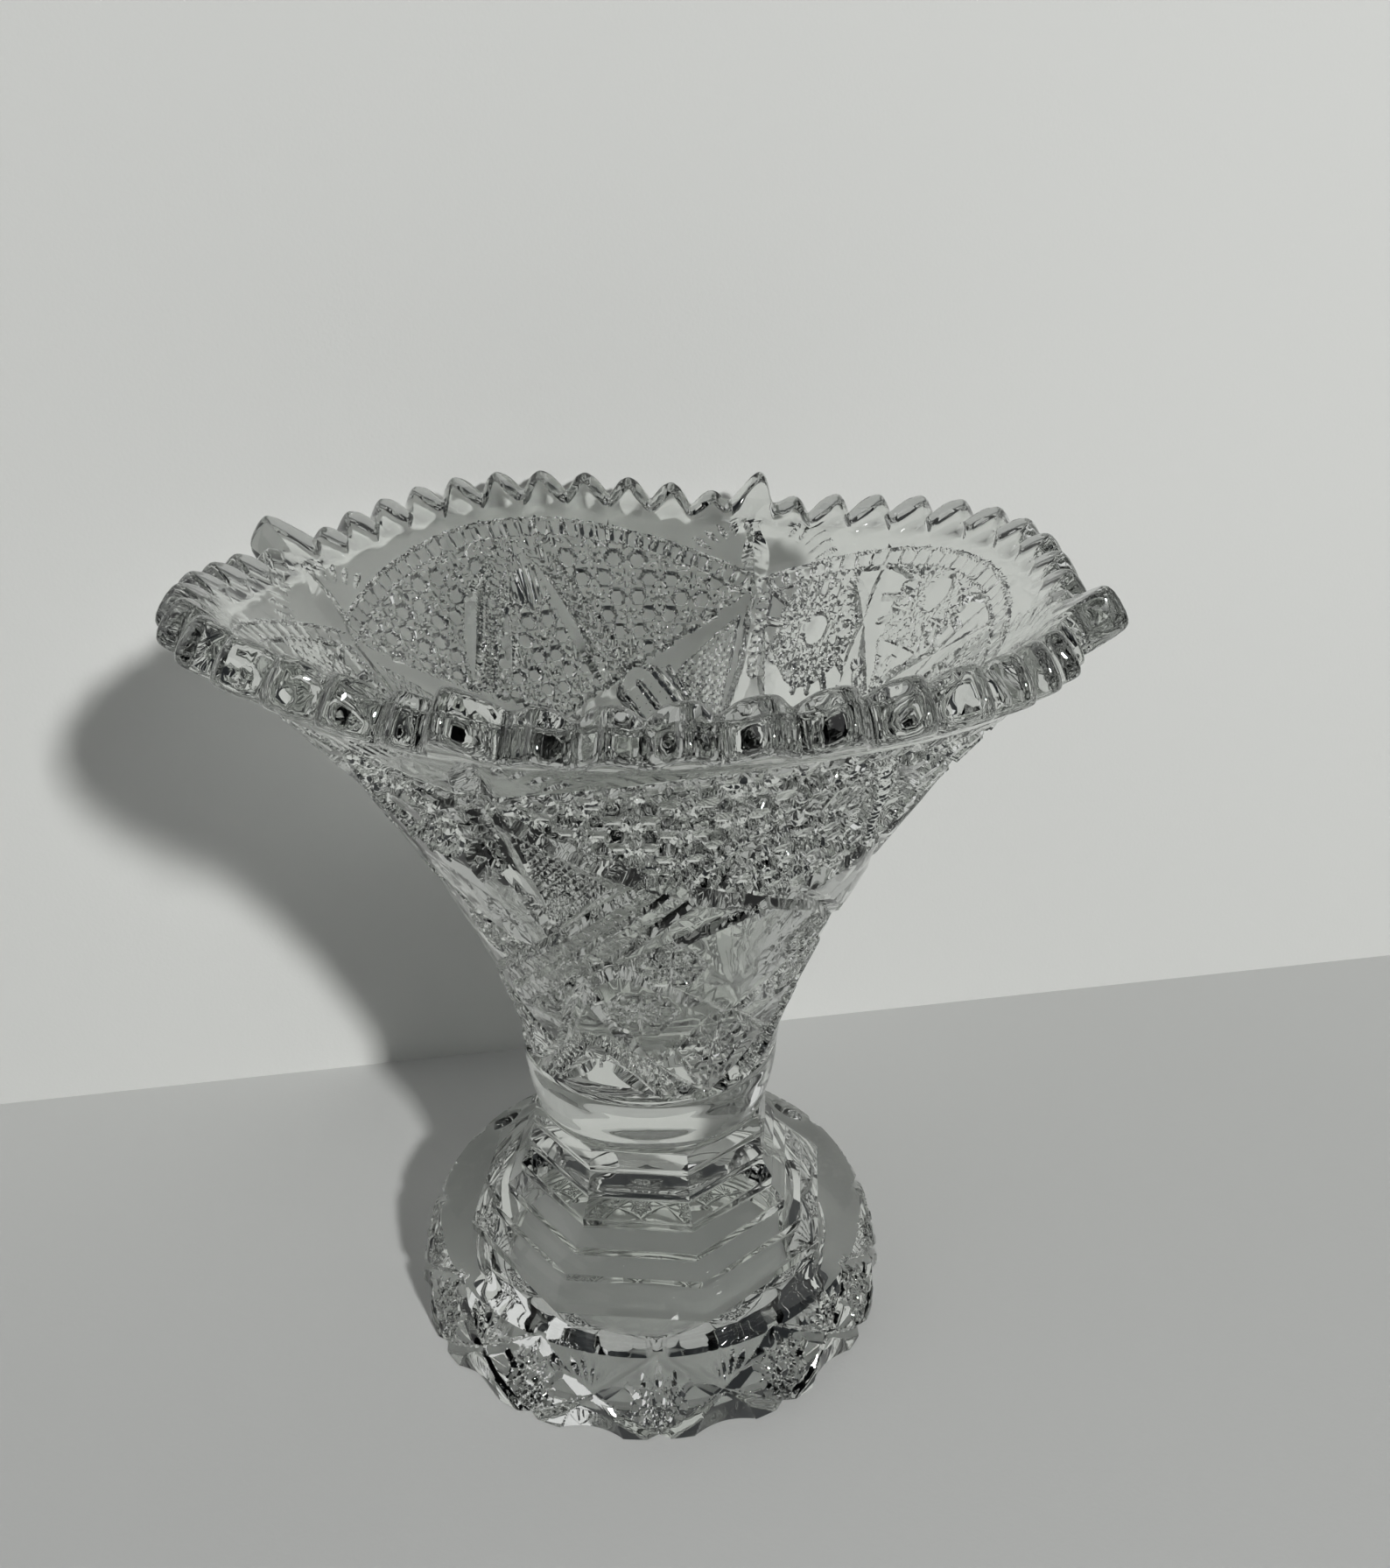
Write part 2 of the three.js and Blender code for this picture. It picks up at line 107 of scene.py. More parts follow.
def curve_through(stops: Stops, steps: int) -> Grid:
    """Points along a smooth curve through stops.

    Args:
        stops: (radius, height) pairs.
        steps: points on each stretch between two stops.

    Returns:
        An array of points, the first and last stop included.
    """
    p = np.array([stops[0], *stops, stops[-1]], dtype=float)
    t = np.linspace(0, 1, steps, endpoint=False)[:, None]
    parts = [
        0.5 * (
            2 * b + (c - a) * t + (2 * a - 5 * b + 4 * c - d) * t ** 2
            + (3 * b - a - 3 * c + d) * t ** 3
        )
        for a, b, c, d in zip(p, p[1:], p[2:], p[3:])
    ]
    return np.concatenate([*parts, p[-1:]])


class ArchPattern(Enum):
    """The two patterns that take turns below the arches of the rim."""

    HOBNAIL = "hobnail buttons with blades"
    HOBSTAR = "hobstars in diamonds"


@dataclass(frozen=True)
class VaseSizes:
    """The sizes that the solids have too, in millimetres."""

    mouth_radius: float = 100.0
    vase_height: float = 208.0
    waist_radius: float = 34.6
    waist_height: float = 78.0
    neck_radius: float = 32.0
    neck_height: float = 61.0
    foot_radius: float = 66.7
    rim_thickness: float = 8.0
    lower_wall: float = 11.0
    floor_height: float = 89.0
    hollow_radius: float = 51.0
    hollow_height: float = 40.0
    tooth_count: int = 48
    teeth_per_arch: int = 12
    tooth_depth: float = 7.0
    rim_bulge: float = 2.3
    large_tooth_rise: float = 8.0
    lobe_swell: float = 0.027
    lobe_rise: float = 2.5
    foot_turn: float = 9.4
    foot_sides: int = 8
    skirt_height: float = 22.0
    skirt_stars: int = 12
    fused_overlap: float = 0.3


SIZES = VaseSizes()


def add_node(
    tree: NodeTree,
    kind: str,
    settings: dict[str, object] | None = None,
    inputs: dict[str | int, object] | None = None,
) -> Node:
    """Adds a node, sets its properties, and sets or links its inputs.

    Args:
        tree: the node tree that gets the node.
        kind: the node's type name.
        settings: property names and values.
        inputs: socket names or numbers, with a value, an output socket to link, or a node
            whose first output is linked.

    Returns:
        The new node.
    """
    node = tree.nodes.new(kind)
    for name, value in (settings or {}).items():
        setattr(node, name, value)
    for key, value in (inputs or {}).items():
        if isinstance(value, Node):
            value = value.outputs[0]
        if isinstance(value, NodeSocket):
            tree.links.new(value, node.inputs[key])
        else:
            node.inputs[key].default_value = value
    return node


def empty_tree(owner: Material | World) -> NodeTree:
    """Gives a material or a world an empty node tree.

    Args:
        owner: the material or world.

    Returns:
        Its tree.
    """
    owner.use_nodes = True
    owner.node_tree.nodes.clear()
    return owner.node_tree


def add_object(name: str, data: Mesh | Light | Camera) -> Object:
    """Puts an object with the given data into the scene.

    Args:
        name: the object's name.
        data: its mesh, light or camera.

    Returns:
        The object.
    """
    thing = bpy.data.objects.new(name, data)
    bpy.context.scene.collection.objects.link(thing)
    return thing


@dataclass(frozen=True)
class RoughSkin:
    """Fine unevenness of a surface, as a bump from noise in the piece's own coordinates."""

    scale: float
    detail: float
    roughness: float
    strength: float
    depth_mm: float

    def add(self, tree: NodeTree) -> Node:
        """Adds the bump to a material.

        Args:
            tree: the material's tree.

        Returns:
            The node with the uneven normal.
        """
        coords = add_node(tree, "ShaderNodeTexCoord").outputs["Object"]
        noise = add_node(tree, "ShaderNodeTexNoise", inputs={
            "Vector": coords, "Scale": self.scale, "Detail": self.detail,
            "Roughness": self.roughness,
        }).outputs["Fac"]
        return add_node(tree, "ShaderNodeBump", inputs={
            "Height": noise, "Strength": self.strength, "Distance": self.depth_mm * MM,
        })


@dataclass(frozen=True)
class PressedGlass:
    """Soda-lime glass, pressed in an iron mould and fire-polished.

    The mould leaves soft ripples about a centimetre across on every surface, and the fire
    polish makes the skin bright and rounds each edge. Where two pieces are fused there is
    no surface in the glass, so light passes their touching faces unbent.
    """

    name: str = "pressed_soda_lime_glass"
    body_hex: str = "EDEFEC"
    ior: float = 1.52
    roughness: float = 0.015
    ripple_mm: float = 9.0
    ripple_depth_mm: float = 0.6

    def make(self) -> Material:
        """Builds the material.

        Returns:
            The finished glass material.
        """
        material = bpy.data.materials.new(self.name)
        tree = empty_tree(material)
        ripple = RoughSkin(1 / (self.ripple_mm * MM), 2.0, 0.45, 0.05, self.ripple_depth_mm)
        glass = add_node(tree, "ShaderNodeBsdfPrincipled", inputs={
            "Base Color": linear(self.body_hex), "Roughness": self.roughness, "IOR": self.ior,
            "Transmission Weight": 1.0, "Normal": ripple.add(tree),
        })
        fused = add_node(tree, "ShaderNodeAttribute", {"attribute_name": "fused"}).outputs["Fac"]
        joined = add_node(tree, "ShaderNodeMath", {"operation": "GREATER_THAN"}, {0: fused, 1: 0.5})
        clear = add_node(tree, "ShaderNodeBsdfTransparent")
        surface = add_node(tree, "ShaderNodeMixShader", inputs={0: joined, 1: glass, 2: clear})
        add_node(tree, "ShaderNodeOutputMaterial", inputs={"Surface": surface})
        return material


@dataclass(frozen=True)
class PaintedBoard:
    """Matt painted board with a faint canvas weave, for the floor and the wall behind.

    A share of its plain colour is seen through glass, and another directly. A one-sided board
    can't be seen from its back, so it doesn't stand between the vase and a viewer behind it.
    """

    name: str
    colour_hex: str
    seen_through_glass: float = 0.12
    seen_directly: float = 0.0
    one_sided: bool = False
    plain_strength: float = 0.9
    weave: RoughSkin = RoughSkin(900.0, 3.0, 0.5, 0.15, 0.3)

    def make(self) -> Material:
        """Builds the material.

        Returns:
            The matt material.
        """
        material = bpy.data.materials.new(self.name)
        tree = empty_tree(material)
        colour = linear(self.colour_hex)
        paint = add_node(tree, "ShaderNodeBsdfPrincipled", inputs={
            "Base Color": colour, "Roughness": 0.9, "Specular IOR Level": 0.2,
            "Normal": self.weave.add(tree),
        })
        plain = add_node(tree, "ShaderNodeEmission", inputs={
            "Color": colour, "Strength": self.plain_strength,
        })
        path = add_node(tree, "ShaderNodeLightPath").outputs
        direct = add_node(tree, "ShaderNodeMath", {"operation": "MULTIPLY"}, {
            0: path["Is Camera Ray"], 1: self.seen_directly,
        })
        share = add_node(tree, "ShaderNodeMath", {"operation": "MULTIPLY_ADD"}, {
            0: path["Is Transmission Ray"], 1: self.seen_through_glass, 2: direct,
        })
        surface = add_node(tree, "ShaderNodeMixShader", inputs={0: share, 1: paint, 2: plain})
        if self.one_sided:
            back = add_node(tree, "ShaderNodeNewGeometry").outputs["Backfacing"]
            unseen = add_node(tree, "ShaderNodeMath", {"operation": "MULTIPLY"}, {
                0: back, 1: path["Is Camera Ray"],
            })
            clear = add_node(tree, "ShaderNodeBsdfTransparent")
            surface = add_node(tree, "ShaderNodeMixShader", inputs={
                0: unseen, 1: surface, 2: clear,
            })
        add_node(tree, "ShaderNodeOutputMaterial", inputs={"Surface": surface})
        return material


@dataclass
class SurfaceOfRevolution:
    """An outside profile with the conformal height that keeps patterns in shape.

    On a turned surface, azimuth in radians and the sum of ds / r give a map on which
    small shapes keep their form, so distances there times r are distances on the glass.
    """

    radii: Grid
    heights: Grid
    arc: Grid = field(init=False)
    conformal: Grid = field(init=False)

    def __post_init__(self) -> None:
        """Measures the profile."""
        step = np.hypot(np.diff(self.radii), np.diff(self.heights))
        middle = (self.radii[1:] + self.radii[:-1]) / 2
        self.arc = np.concatenate([[0.0], np.cumsum(step)])
        self.conformal = np.concatenate([[0.0], np.cumsum(step / middle)])

    def at_arc(self, s: Grid) -> tuple[Grid, Grid]:
        """The radius and height at a distance along the profile, on past its end too.

        Args:
            s: distances along the profile in millimetres.

        Returns:
            Radii and heights.
        """
        r = np.interp(s, self.arc, self.radii)
        z = np.interp(s, self.arc, self.heights)
        over = np.maximum(s - self.arc[-1], 0)
        run = np.array([self.radii[-1] - self.radii[-2], self.heights[-1] - self.heights[-2]])
        run = run / np.hypot(*run)
        return r + over * run[0], z + over * run[1]

    def map_of(self, z: float | Grid) -> Grid:
        """The conformal height of a height in millimetres."""
        return np.interp(z, self.heights, self.conformal)

    def radius_at(self, z: float | Grid) -> Grid:
        """The radius at a height in millimetres."""
        return np.interp(z, self.heights, self.radii)


@dataclass(frozen=True)
class Path:
    """Stops on the glass, as degrees from a panel's middle and heights, and a width.

    Where the stops are the corners of a panel, the width is that of its plain edge.
    """

    stops: Stops
    width: float

    def at(self, middle: float, scale: float = 1) -> "Path":
        """The same laid round a panel's middle, its degrees scaled; a scale of -1 mirrors it."""
        return replace(self, stops=tuple((middle + scale * a, z) for a, z in self.stops))


@dataclass(frozen=True)
class Cut(Path):
    """A V cut: a mitre of one depth, or a blade, deepest at a share of its way."""

    depth: float
    deepest: float = 0.5


@dataclass(frozen=True)
class Ribbon(Path):
    """A band left standing between two edge mitres, with cross notches."""

    notch: float
    edge: float
    slant: float = 0.0
    proud: float = 0.0


@dataclass(frozen=True)
class Motif:
    """A form round a centre, given as degrees from a panel's middle and a height."""

    azimuth: float
    height: float

    def at(self, middle: float, scale: float = 1) -> "Motif":
        """The same laid round a panel's middle, its degrees scaled; a scale of -1 mirrors it."""
        return replace(self, azimuth=middle + scale * self.azimuth)


@dataclass(frozen=True)
class Hobnails(Motif):
    """Rows of six-sided flat buttons, six round every small star."""

    pitch: float


@dataclass(frozen=True)
class Hobstar(Motif):
    """A star polygon of crossing lines round a flat button."""

    button: float
    reach: float
    points: int
    stretch: float


@dataclass(frozen=True)
class SmallStar(Motif):
    """A six-sided panel with crossing cuts through its middle."""

    reach: float


@dataclass(frozen=True)
class Fan(Motif):
    """Pointed rays that spread from a centre, in degrees clockwise from upwards."""

    angles: tuple[float, ...]
    start: float
    reach: float
    width: float
    depth: float = 1.1


@dataclass
class ReliefField:
    """Depth of the pattern below the smooth blank, over a grid of azimuths and heights."""

    surface: SurfaceOfRevolution
    azimuth: Grid
    height: Grid
    radius: Grid = field(init=False)
    psi: Grid = field(init=False)
    depth: Grid = field(init=False)

    def __post_init__(self) -> None:
        """Starts from the smooth blank."""
        self.radius = self.surface.radius_at(self.height)
        self.psi = self.surface.map_of(self.height)
        self.depth = np.zeros_like(self.azimuth)

    def deepen(self, depth: Grid) -> None:
        """Cuts down to a depth wherever the glass still stands higher."""
        self.depth = np.maximum(self.depth, depth)

    def fill(self, where: Grid, depth: Grid | float) -> None:
        """Puts a depth in place of the pattern wherever a region is above 0."""
        self.depth = np.where(where > 0, depth, self.depth)

    def local(self, azimuth: float, z: float) -> tuple[Grid, Grid]:
        """Distances clockwise and upwards from a centre, each true where it is measured."""
        across = np.radians(degrees_from(self.azimuth, azimuth))
        return across * self.radius, (self.psi - self.surface.map_of(z)) * self.radius

    def sheet(self, azimuth: float, z: float) -> tuple[Grid, Grid]:
        """Distances clockwise and upwards from a centre, all at the centre's own scale.

        Args:
            azimuth: the centre's azimuth.
            z: the centre's height.

        Returns:
            Both distances in millimetres.
        """
        scale = float(self.surface.radius_at(z))
        across = np.radians(degrees_from(self.azimuth, azimuth))
        return across * scale, (self.psi - self.surface.map_of(z)) * scale

    def along_path(self, stops: Stops) -> tuple[Grid, Grid, float]:
        """Distance from a path of (azimuth, height) stops, and along it.

        Args:
            stops: the corners of the path.

        Returns:
            The distance from the path, the distance along it, and its length.
        """
        best = np.full(self.azimuth.shape, FAR)
        along = np.zeros_like(best)
        done = 0.0
        for (a0, z0), (a1, z1) in zip(stops, stops[1:]):
            r = float(self.surface.radius_at((z0 + z1) / 2))
            du = math.radians(a1 - a0)
            dv = float(self.surface.map_of(z1) - self.surface.map_of(z0))
            size = math.hypot(du, dv)
            u = np.radians(degrees_from(self.azimuth, (a0 + a1) / 2)) + du / 2
            v = self.psi - float(self.surface.map_of(z0))
            t = np.clip((u * du + v * dv) / size ** 2, 0, 1)
            distance = np.hypot(u - t * du, v - t * dv) * self.radius
            nearer = distance < best
            best = np.where(nearer, distance, best)
            along = np.where(nearer, done + t * size * r, along)
            done += size * r
        return best, along, done

    def mitre(self, cut: Cut) -> None:
        """Cuts a plain V mitre along a path."""
        distance, _, _ = self.along_path(cut.stops)
        self.deepen(cut.depth * (1 - distance / (cut.width / 2)))

    def blade(self, cut: Cut) -> None:
        """Cuts a V that is widest part of the way along and pointed at both ends.

        Args:
            cut: the blade.
        """
        fullness = 0.8
        distance, along, length = self.along_path(cut.stops)
        power = math.log(0.5) / math.log(cut.deepest)
        share = np.sin(np.pi * np.clip(along / length, 0, 1) ** power) ** fullness
        depth = share * cut.depth - distance * (2 * cut.depth / cut.width)
        self.deepen(np.where(share > TRACE, depth, 0))

    def blades(self, cuts: list[Cut]) -> None:
        """Cuts clean blades through a pattern, in place of it where they cut.

        Args:
            cuts: the blades.
        """
        before, self.depth = self.depth, np.zeros_like(self.depth)
        for cut in cuts:
            self.blade(cut)
        self.depth = np.where(self.depth > TRACE, self.depth, before)

    def ribbon(self, band: Ribbon) -> None:
        """Leaves a notched ribbon between two edge mitres.

        Args:
            band: the ribbon.
        """
        edge_depth, edge_gain, notch_depth, notch_gap, crown_drop = 1.5, 0.3, 1.5, 1.7, 0.35
        distance, along, _ = self.along_path(band.stops)
        half, edge = band.width / 2, band.edge / 2
        beside = 1 - np.abs(distance - half - edge) / edge
        self.deepen((edge_depth + edge_gain * band.proud) * beside)
        notches = triangle_wave(along / band.notch + band.slant * distance / band.width)
        cross = notch_depth * np.clip(1 - notches * notch_gap, 0, 1)
        crown = crown_drop * (distance / half) ** 2 * (1 + band.proud)
        self.fill(distance < half, np.maximum(cross, crown) - band.proud)

    def inside(self, corners: Stops) -> Grid:
        """How far each point lies inside a convex panel's nearest edge, in millimetres.

        Args:
            corners: the panel's (azimuth, height) corners, at most a quarter turn apart.

        Returns:
            The distances, below 0 outside the panel.
        """
        middle = sum(a for a, _ in corners) / len(corners)
        u = np.radians(degrees_from(self.azimuth, middle))
        points = [(math.radians(a - middle), float(self.surface.map_of(z))) for a, z in corners]
        edges = list(zip(points, points[1:] + points[:1]))
        sign = 1 if sum(p[0] * q[1] - q[0] * p[1] for p, q in edges) > 0 else -1
        reach = np.full(self.azimuth.shape, FAR)
        for (u0, v0), (u1, v1) in edges:
            size = math.hypot(u1 - u0, v1 - v0)
            side = sign * ((u1 - u0) * (self.psi - v0) - (v1 - v0) * (u - u0)) / size
            reach = np.minimum(reach, side * self.radius)
        return reach

    def hobnails(self, where: Grid, buttons: Hobnails) -> None:
        """Fills a region with hobnails.

        Args:
            where: the region, as the distance inside its edge.
            buttons: the rows of buttons.
        """
        ground, web, star, petal, dent = 1.9, 0.5, 1.95, 1.4, 0.15
        pitch, sixth = buttons.pitch, math.pi / 3
        flat, slope, star_reach = pitch * 0.3, pitch * 0.11, pitch * 0.52
        x, y = self.sheet(buttons.azimuth, buttons.height)
        step = pitch * math.sqrt(3) / 2
        best = np.full(x.shape, FAR)
        found = [np.zeros_like(x) for _ in range(3)]
        for shift in (0, 1):
            row = np.floor(y / step) + shift
            place = np.round(x / pitch - row / 2)
            dx, dy = x - (place + row / 2) * pitch, y - row * step
            near = np.hypot(dx, dy)
            new = (dx, dy, (place - row) % 3)
            found = [np.where(near < best, now, old) for now, old in zip(new, found)]
            best = np.minimum(best, near)
        dx, dy, kind = found
        fold = folded(np.arctan2(dx, dy), sixth)
        floor = ground - web * nearness(np.abs(fold - sixth / 2) * best, 0.5)
        button = np.clip((best * np.cos(fold) - flat) / slope, 0, 1)
        dish = dent * nearness(best, flat) ** 0.5
        petals = nearness(fold * best, 0.55) * np.clip((star_reach - best) / 1.0, 0, 1)
        rosette = star - petal * petals * np.clip(best / 0.8, 0.2, 1)
        self.fill(where, np.where(kind == 0, rosette, np.maximum(button * floor, dish)))

    def hobstar(self, where: Grid, star: Hobstar) -> None:
        """Cuts a hobstar that fills a region.

        Args:
            where: the region, as the distance inside its edge.
            star: the star.
        """
        line, ray, ring_cut, face, offset = 1.7, 1.6, 1.6, 0.1, star.button * 1.12
        x, y = self.sheet(star.azimuth, star.height)
        y = y / star.stretch
        rho, phi = np.hypot(x, y), np.arctan2(x, y)
        depth = np.zeros_like(x)
        for point in range(star.points):
            turn = 2 * math.pi * (point + 0.5) / star.points
            off = np.abs(x * math.cos(turn) + y * math.sin(turn) - offset)
            depth = np.maximum(depth, np.where(rho < star.reach * 1.25, line * (1 - off), 0))
        spread = folded(phi, 2 * math.pi / star.points) * rho
        depth = np.maximum(depth, ray * nearness(spread, 1.0) * (rho > star.reach * 1.02))
        ring = ring_cut * nearness(np.abs(rho - star.button), 0.7)
        on_button = rho < star.button + 0.35
        self.fill(where, np.where(on_button, np.maximum(ring, face), np.maximum(depth, ring)))

    def small_star(self, star: SmallStar) -> None:
        """Cuts a small star.

        Args:
            star: the star.
        """
        sector, ground = math.pi / 3, 0.3
        x, y = self.local(star.azimuth, star.height)
        rho = np.hypot(x, y)
        fold = folded(np.arctan2(x, y), sector)
        hexagon = rho * np.cos(fold)
        depth = np.full(x.shape, ground)
        for cut, distance, width in (
            (1.3, rho * np.sin(fold), 1.0),
            (0.9, rho * np.sin(np.abs(fold - sector / 2)), 0.8),
            (0.9, np.abs(hexagon - star.reach * 0.5), 0.8),
            (1.2, np.abs(hexagon - star.reach * 0.9), 0.9),
        ):
            depth = np.maximum(depth, cut * nearness(distance, width))
        self.fill(hexagon < star.reach, depth)

    def fan(self, fan: Fan) -> None:
        """Cuts a fan.

        Args:
            fan: the fan.
        """
        x, y = self.local(fan.azimuth, fan.height)
        for angle in fan.angles:
            c, s = math.cos(math.radians(angle)), math.sin(math.radians(angle))
            t = (x * s + y * c - fan.start) / (fan.reach - fan.start)
            share = np.sin(np.pi * np.clip(t, 0, 1) ** 1.5)
            cut = fan.depth * (share - np.abs(x * c - y * s) / (fan.width / 2))
            self.deepen(np.where((t > 0) & (t < 1), cut, 0))

    def nailheads(self, panel: Path, pitch: float, deep: float) -> None:
        """Fills a panel with a lattice of small points.

        Args:
            panel: the panel; the lattice is centred on its second corner.
            pitch: distance between the points.
            deep: depth of the cuts between them.
        """
        lean = 0.8
        x, y = self.sheet(*panel.stops[1])
        lines = [triangle_wave((x + slope * y) / pitch) for slope in (lean, -lean)]
        region = self.inside(panel.stops) > panel.width
        self.fill(region, deep * (1 - np.minimum(*lines)))

    def facets(self, column: Path, pitch: float) -> None:
        """Cuts a column of small crossed facets along a path.

        Args:
            column: the column.
            pitch: distance between the facets.
        """
        ground, facet, lean, fade = 0.4, 1.3, 0.7, 0.3
        distance, along, _ = self.along_path(column.stops)
        share = distance / column.width
        cells = [triangle_wave(along / pitch + slope * share) for slope in (lean, -lean)]
        depth = ground + facet * np.maximum(*cells) * (1 - fade * share)
        self.fill(distance < column.width / 2, depth)

    def shield(self, panel: Path, flute: float) -> None:
        """Cuts a pointed panel filled with upright flutes.

        Args:
            panel: the panel.
            flute: distance between the flutes.
        """
        flute_depth, flute_start, edge_depth, edge_inset = 1.3, 2.5, 1.5, 0.5
        reach = self.inside(panel.stops)
        x, _ = self.sheet(*panel.stops[0])
        flutes = flute_depth * triangle_wave(x / flute) * np.clip(reach / flute_start, 0, 1)
        edge = edge_depth * nearness(np.abs(reach - edge_inset), panel.width)
        self.fill(reach, np.maximum(edge, flutes))


@dataclass(frozen=True)
class RoundTheAxis:
    """A Geometry Nodes tree that repeats a sector round the upright axis and welds its seams."""

    name: str = "repeat_round_axis"
    weld_mm: float = 0.001

    def tree(self) -> NodeTree:
        """Builds the tree.

        Returns:
            The node tree, with its sizes as named inputs.
        """
        tree = bpy.data.node_groups.new(self.name, "GeometryNodeTree")
        for label, kind in (
            ("Sector", "NodeSocketGeometry"), ("Repeats", "NodeSocketInt"),
            ("Weld Distance", "NodeSocketFloat"), ("Glass", "NodeSocketMaterial"),
        ):
            tree.interface.new_socket(label, in_out="INPUT", socket_type=kind)
        tree.interface.new_socket("Body", in_out="OUTPUT", socket_type="NodeSocketGeometry")
        given = add_node(tree, "NodeGroupInput").outputs
        points = add_node(tree, "GeometryNodePoints", inputs={"Count": given["Repeats"]})
        index = add_node(tree, "GeometryNodeInputIndex")
        step = add_node(tree, "ShaderNodeMath", {"operation": "DIVIDE"}, {
            0: 2 * math.pi, 1: given["Repeats"],
        })
        turn = add_node(tree, "ShaderNodeMath", {"operation": "MULTIPLY"}, {0: index, 1: step})
        spin = add_node(tree, "ShaderNodeCombineXYZ", inputs={"Z": turn})
        copies = add_node(tree, "GeometryNodeInstanceOnPoints", inputs={
            "Points": points, "Instance": given["Sector"], "Rotation": spin,
        })
        real = add_node(tree, "GeometryNodeRealizeInstances", inputs={"Geometry": copies})
        welded = add_node(tree, "GeometryNodeMergeByDistance", inputs={
            "Geometry": real, "Distance": given["Weld Distance"],
        })
        finished = add_node(tree, "GeometryNodeSetMaterial", inputs={
            "Geometry": welded, "Material": given["Glass"],
        })
        add_node(tree, "NodeGroupOutput", inputs={"Body": finished})
        return tree

    def apply(self, piece: Object, repeats: int, glass: Material) -> None:
        """Runs the tree on a piece and leaves a plain mesh.

        Args:
            piece: the object whose mesh is one sector.
            repeats: how many sectors make the round.
            glass: the material of the result.
        """
        tree = self.tree()
        modifier = piece.modifiers.new(self.name, "NODES")
        modifier.node_group = tree
        values = {"Repeats": repeats, "Weld Distance": self.weld_mm * MM, "Glass": glass}
        for item in tree.interface.items_tree:
            if item.item_type == "SOCKET" and item.in_out == "INPUT" and item.name in values:
                modifier[item.identifier] = values[item.name]
        make_plain(piece)


def make_plain(piece: Object) -> None:
    """Replaces a piece's mesh by its evaluated mesh and removes its modifiers.

    Args:
        piece: the object.
    """
    view = bpy.context.evaluated_depsgraph_get()
    view.update()
    mesh = bpy.data.meshes.new_from_object(piece.evaluated_get(view), depsgraph=view)
    piece.modifiers.clear()
    piece.data = mesh


def thin_out(piece: Object, share: float) -> None:
    """Merges faces where the surface is smooth.

    Args:
        piece: the object.
        share: the share of its faces that stays.
    """
    modifier = piece.modifiers.new("thin_out", "DECIMATE")
    modifier.ratio = share
    make_plain(piece)


@dataclass
class GlassBody:
    """What the three pieces share: a sector mesh, repeated round the axis and welded."""

    glass: Material
    name: str = "glass"
    repeats: int = 1
    columns: int = 240
    start_azimuth: float = 0.0
    most_triangles: int = 198_000
    crease_angle: float = 26.0
    parent_body: str = "root"
    waist_joined: float = SIZES.waist_radius - 0.6
    neck_joined: float = 30.0
    joint_blend: float = 0.1
    azimuth: Grid = field(init=False)

    def __post_init__(self) -> None:
        """Sets the azimuths of the sector's columns, both ends included."""
        self.azimuth = self.start_azimuth + np.linspace(0, 360 / self.repeats, self.columns + 1)

    def rows(self) -> Grid:
        """The closed surface, from the middle of its underside to the middle of its top."""
        raise NotImplementedError

    def rings(self, stops: Stops, joined: float = 0.0) -> Grid:
        """Round rings of the surface.

        Args:
            stops: the radius and height of each ring.
            joined: how far out the piece is one glass with the next.

        Returns:
            Radius, height and fused share, by rows and columns.
        """
        rows = np.array([(r, z, float(r < joined)) for r, z in stops])
        return np.repeat(rows[:, None, :], len(self.azimuth), axis=1)

    def free(self, radius: Grid, height: Grid) -> Grid:
        """Rows of the surface that touch no other piece."""
        return np.stack([radius, height, np.zeros_like(radius)], axis=-1)

    def face(self, middle: tuple[float, ...], height: float, joined: float) -> Grid:
        """Rings of a flat face that is fused to the next piece.

        Args:
            middle: radii of the rings inside the joint's edge, from the middle out.
            height: the face's height.
            joined: how far out the two pieces are one glass.

        Returns:
            Radius, height and fused share, by rows and columns.
        """
        radii = (*middle, joined - self.joint_blend, joined + self.joint_blend)
        return self.rings(tuple((r, height) for r in radii), joined)

    def sector(self) -> Mesh:
        """Makes the sector's mesh, in metres.

        Returns:
            The mesh, with the fused share as a point attribute.
        """
        radius, height, fused = np.moveaxis(self.rows(), -1, 0)
        turn = np.radians(self.azimuth)[None, :]
        points = np.stack([radius * np.sin(turn), radius * np.cos(turn), height], axis=-1) * MM
        count, width = radius.shape
        corner = (np.arange(count - 1)[:, None] * width + np.arange(width - 1)[None, :]).ravel()
        quads = np.stack([corner, corner + width, corner + width + 1, corner + 1], axis=-1)
        mesh = bpy.data.meshes.new(self.name + "_sector")
        mesh.from_pydata(points.reshape(-1, 3), [], quads)
        shares = mesh.attributes.new("fused", "FLOAT", "POINT")
        shares.data.foreach_set("value", fused.astype(np.float32).ravel())
        mesh.update()
        return mesh

    def build(self) -> Object:
        """Builds the closed piece and ties it to the frame.

        Returns:
            The finished object.
        """
        piece = add_object("clear_" + self.name, self.sector())
        RoundTheAxis().apply(piece, self.repeats, self.glass)
        triangles = sum(len(p.vertices) - 2 for p in piece.data.polygons)
        if triangles > self.most_triangles:
            thin_out(piece, self.most_triangles / triangles)
        piece.data.shade_smooth()
        piece.data.set_sharp_from_angle(angle=math.radians(self.crease_angle))
        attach(piece, self.parent_body)
        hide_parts(self.name)
        log.info("%s: %d faces", piece.name, len(piece.data.polygons))
        return piece


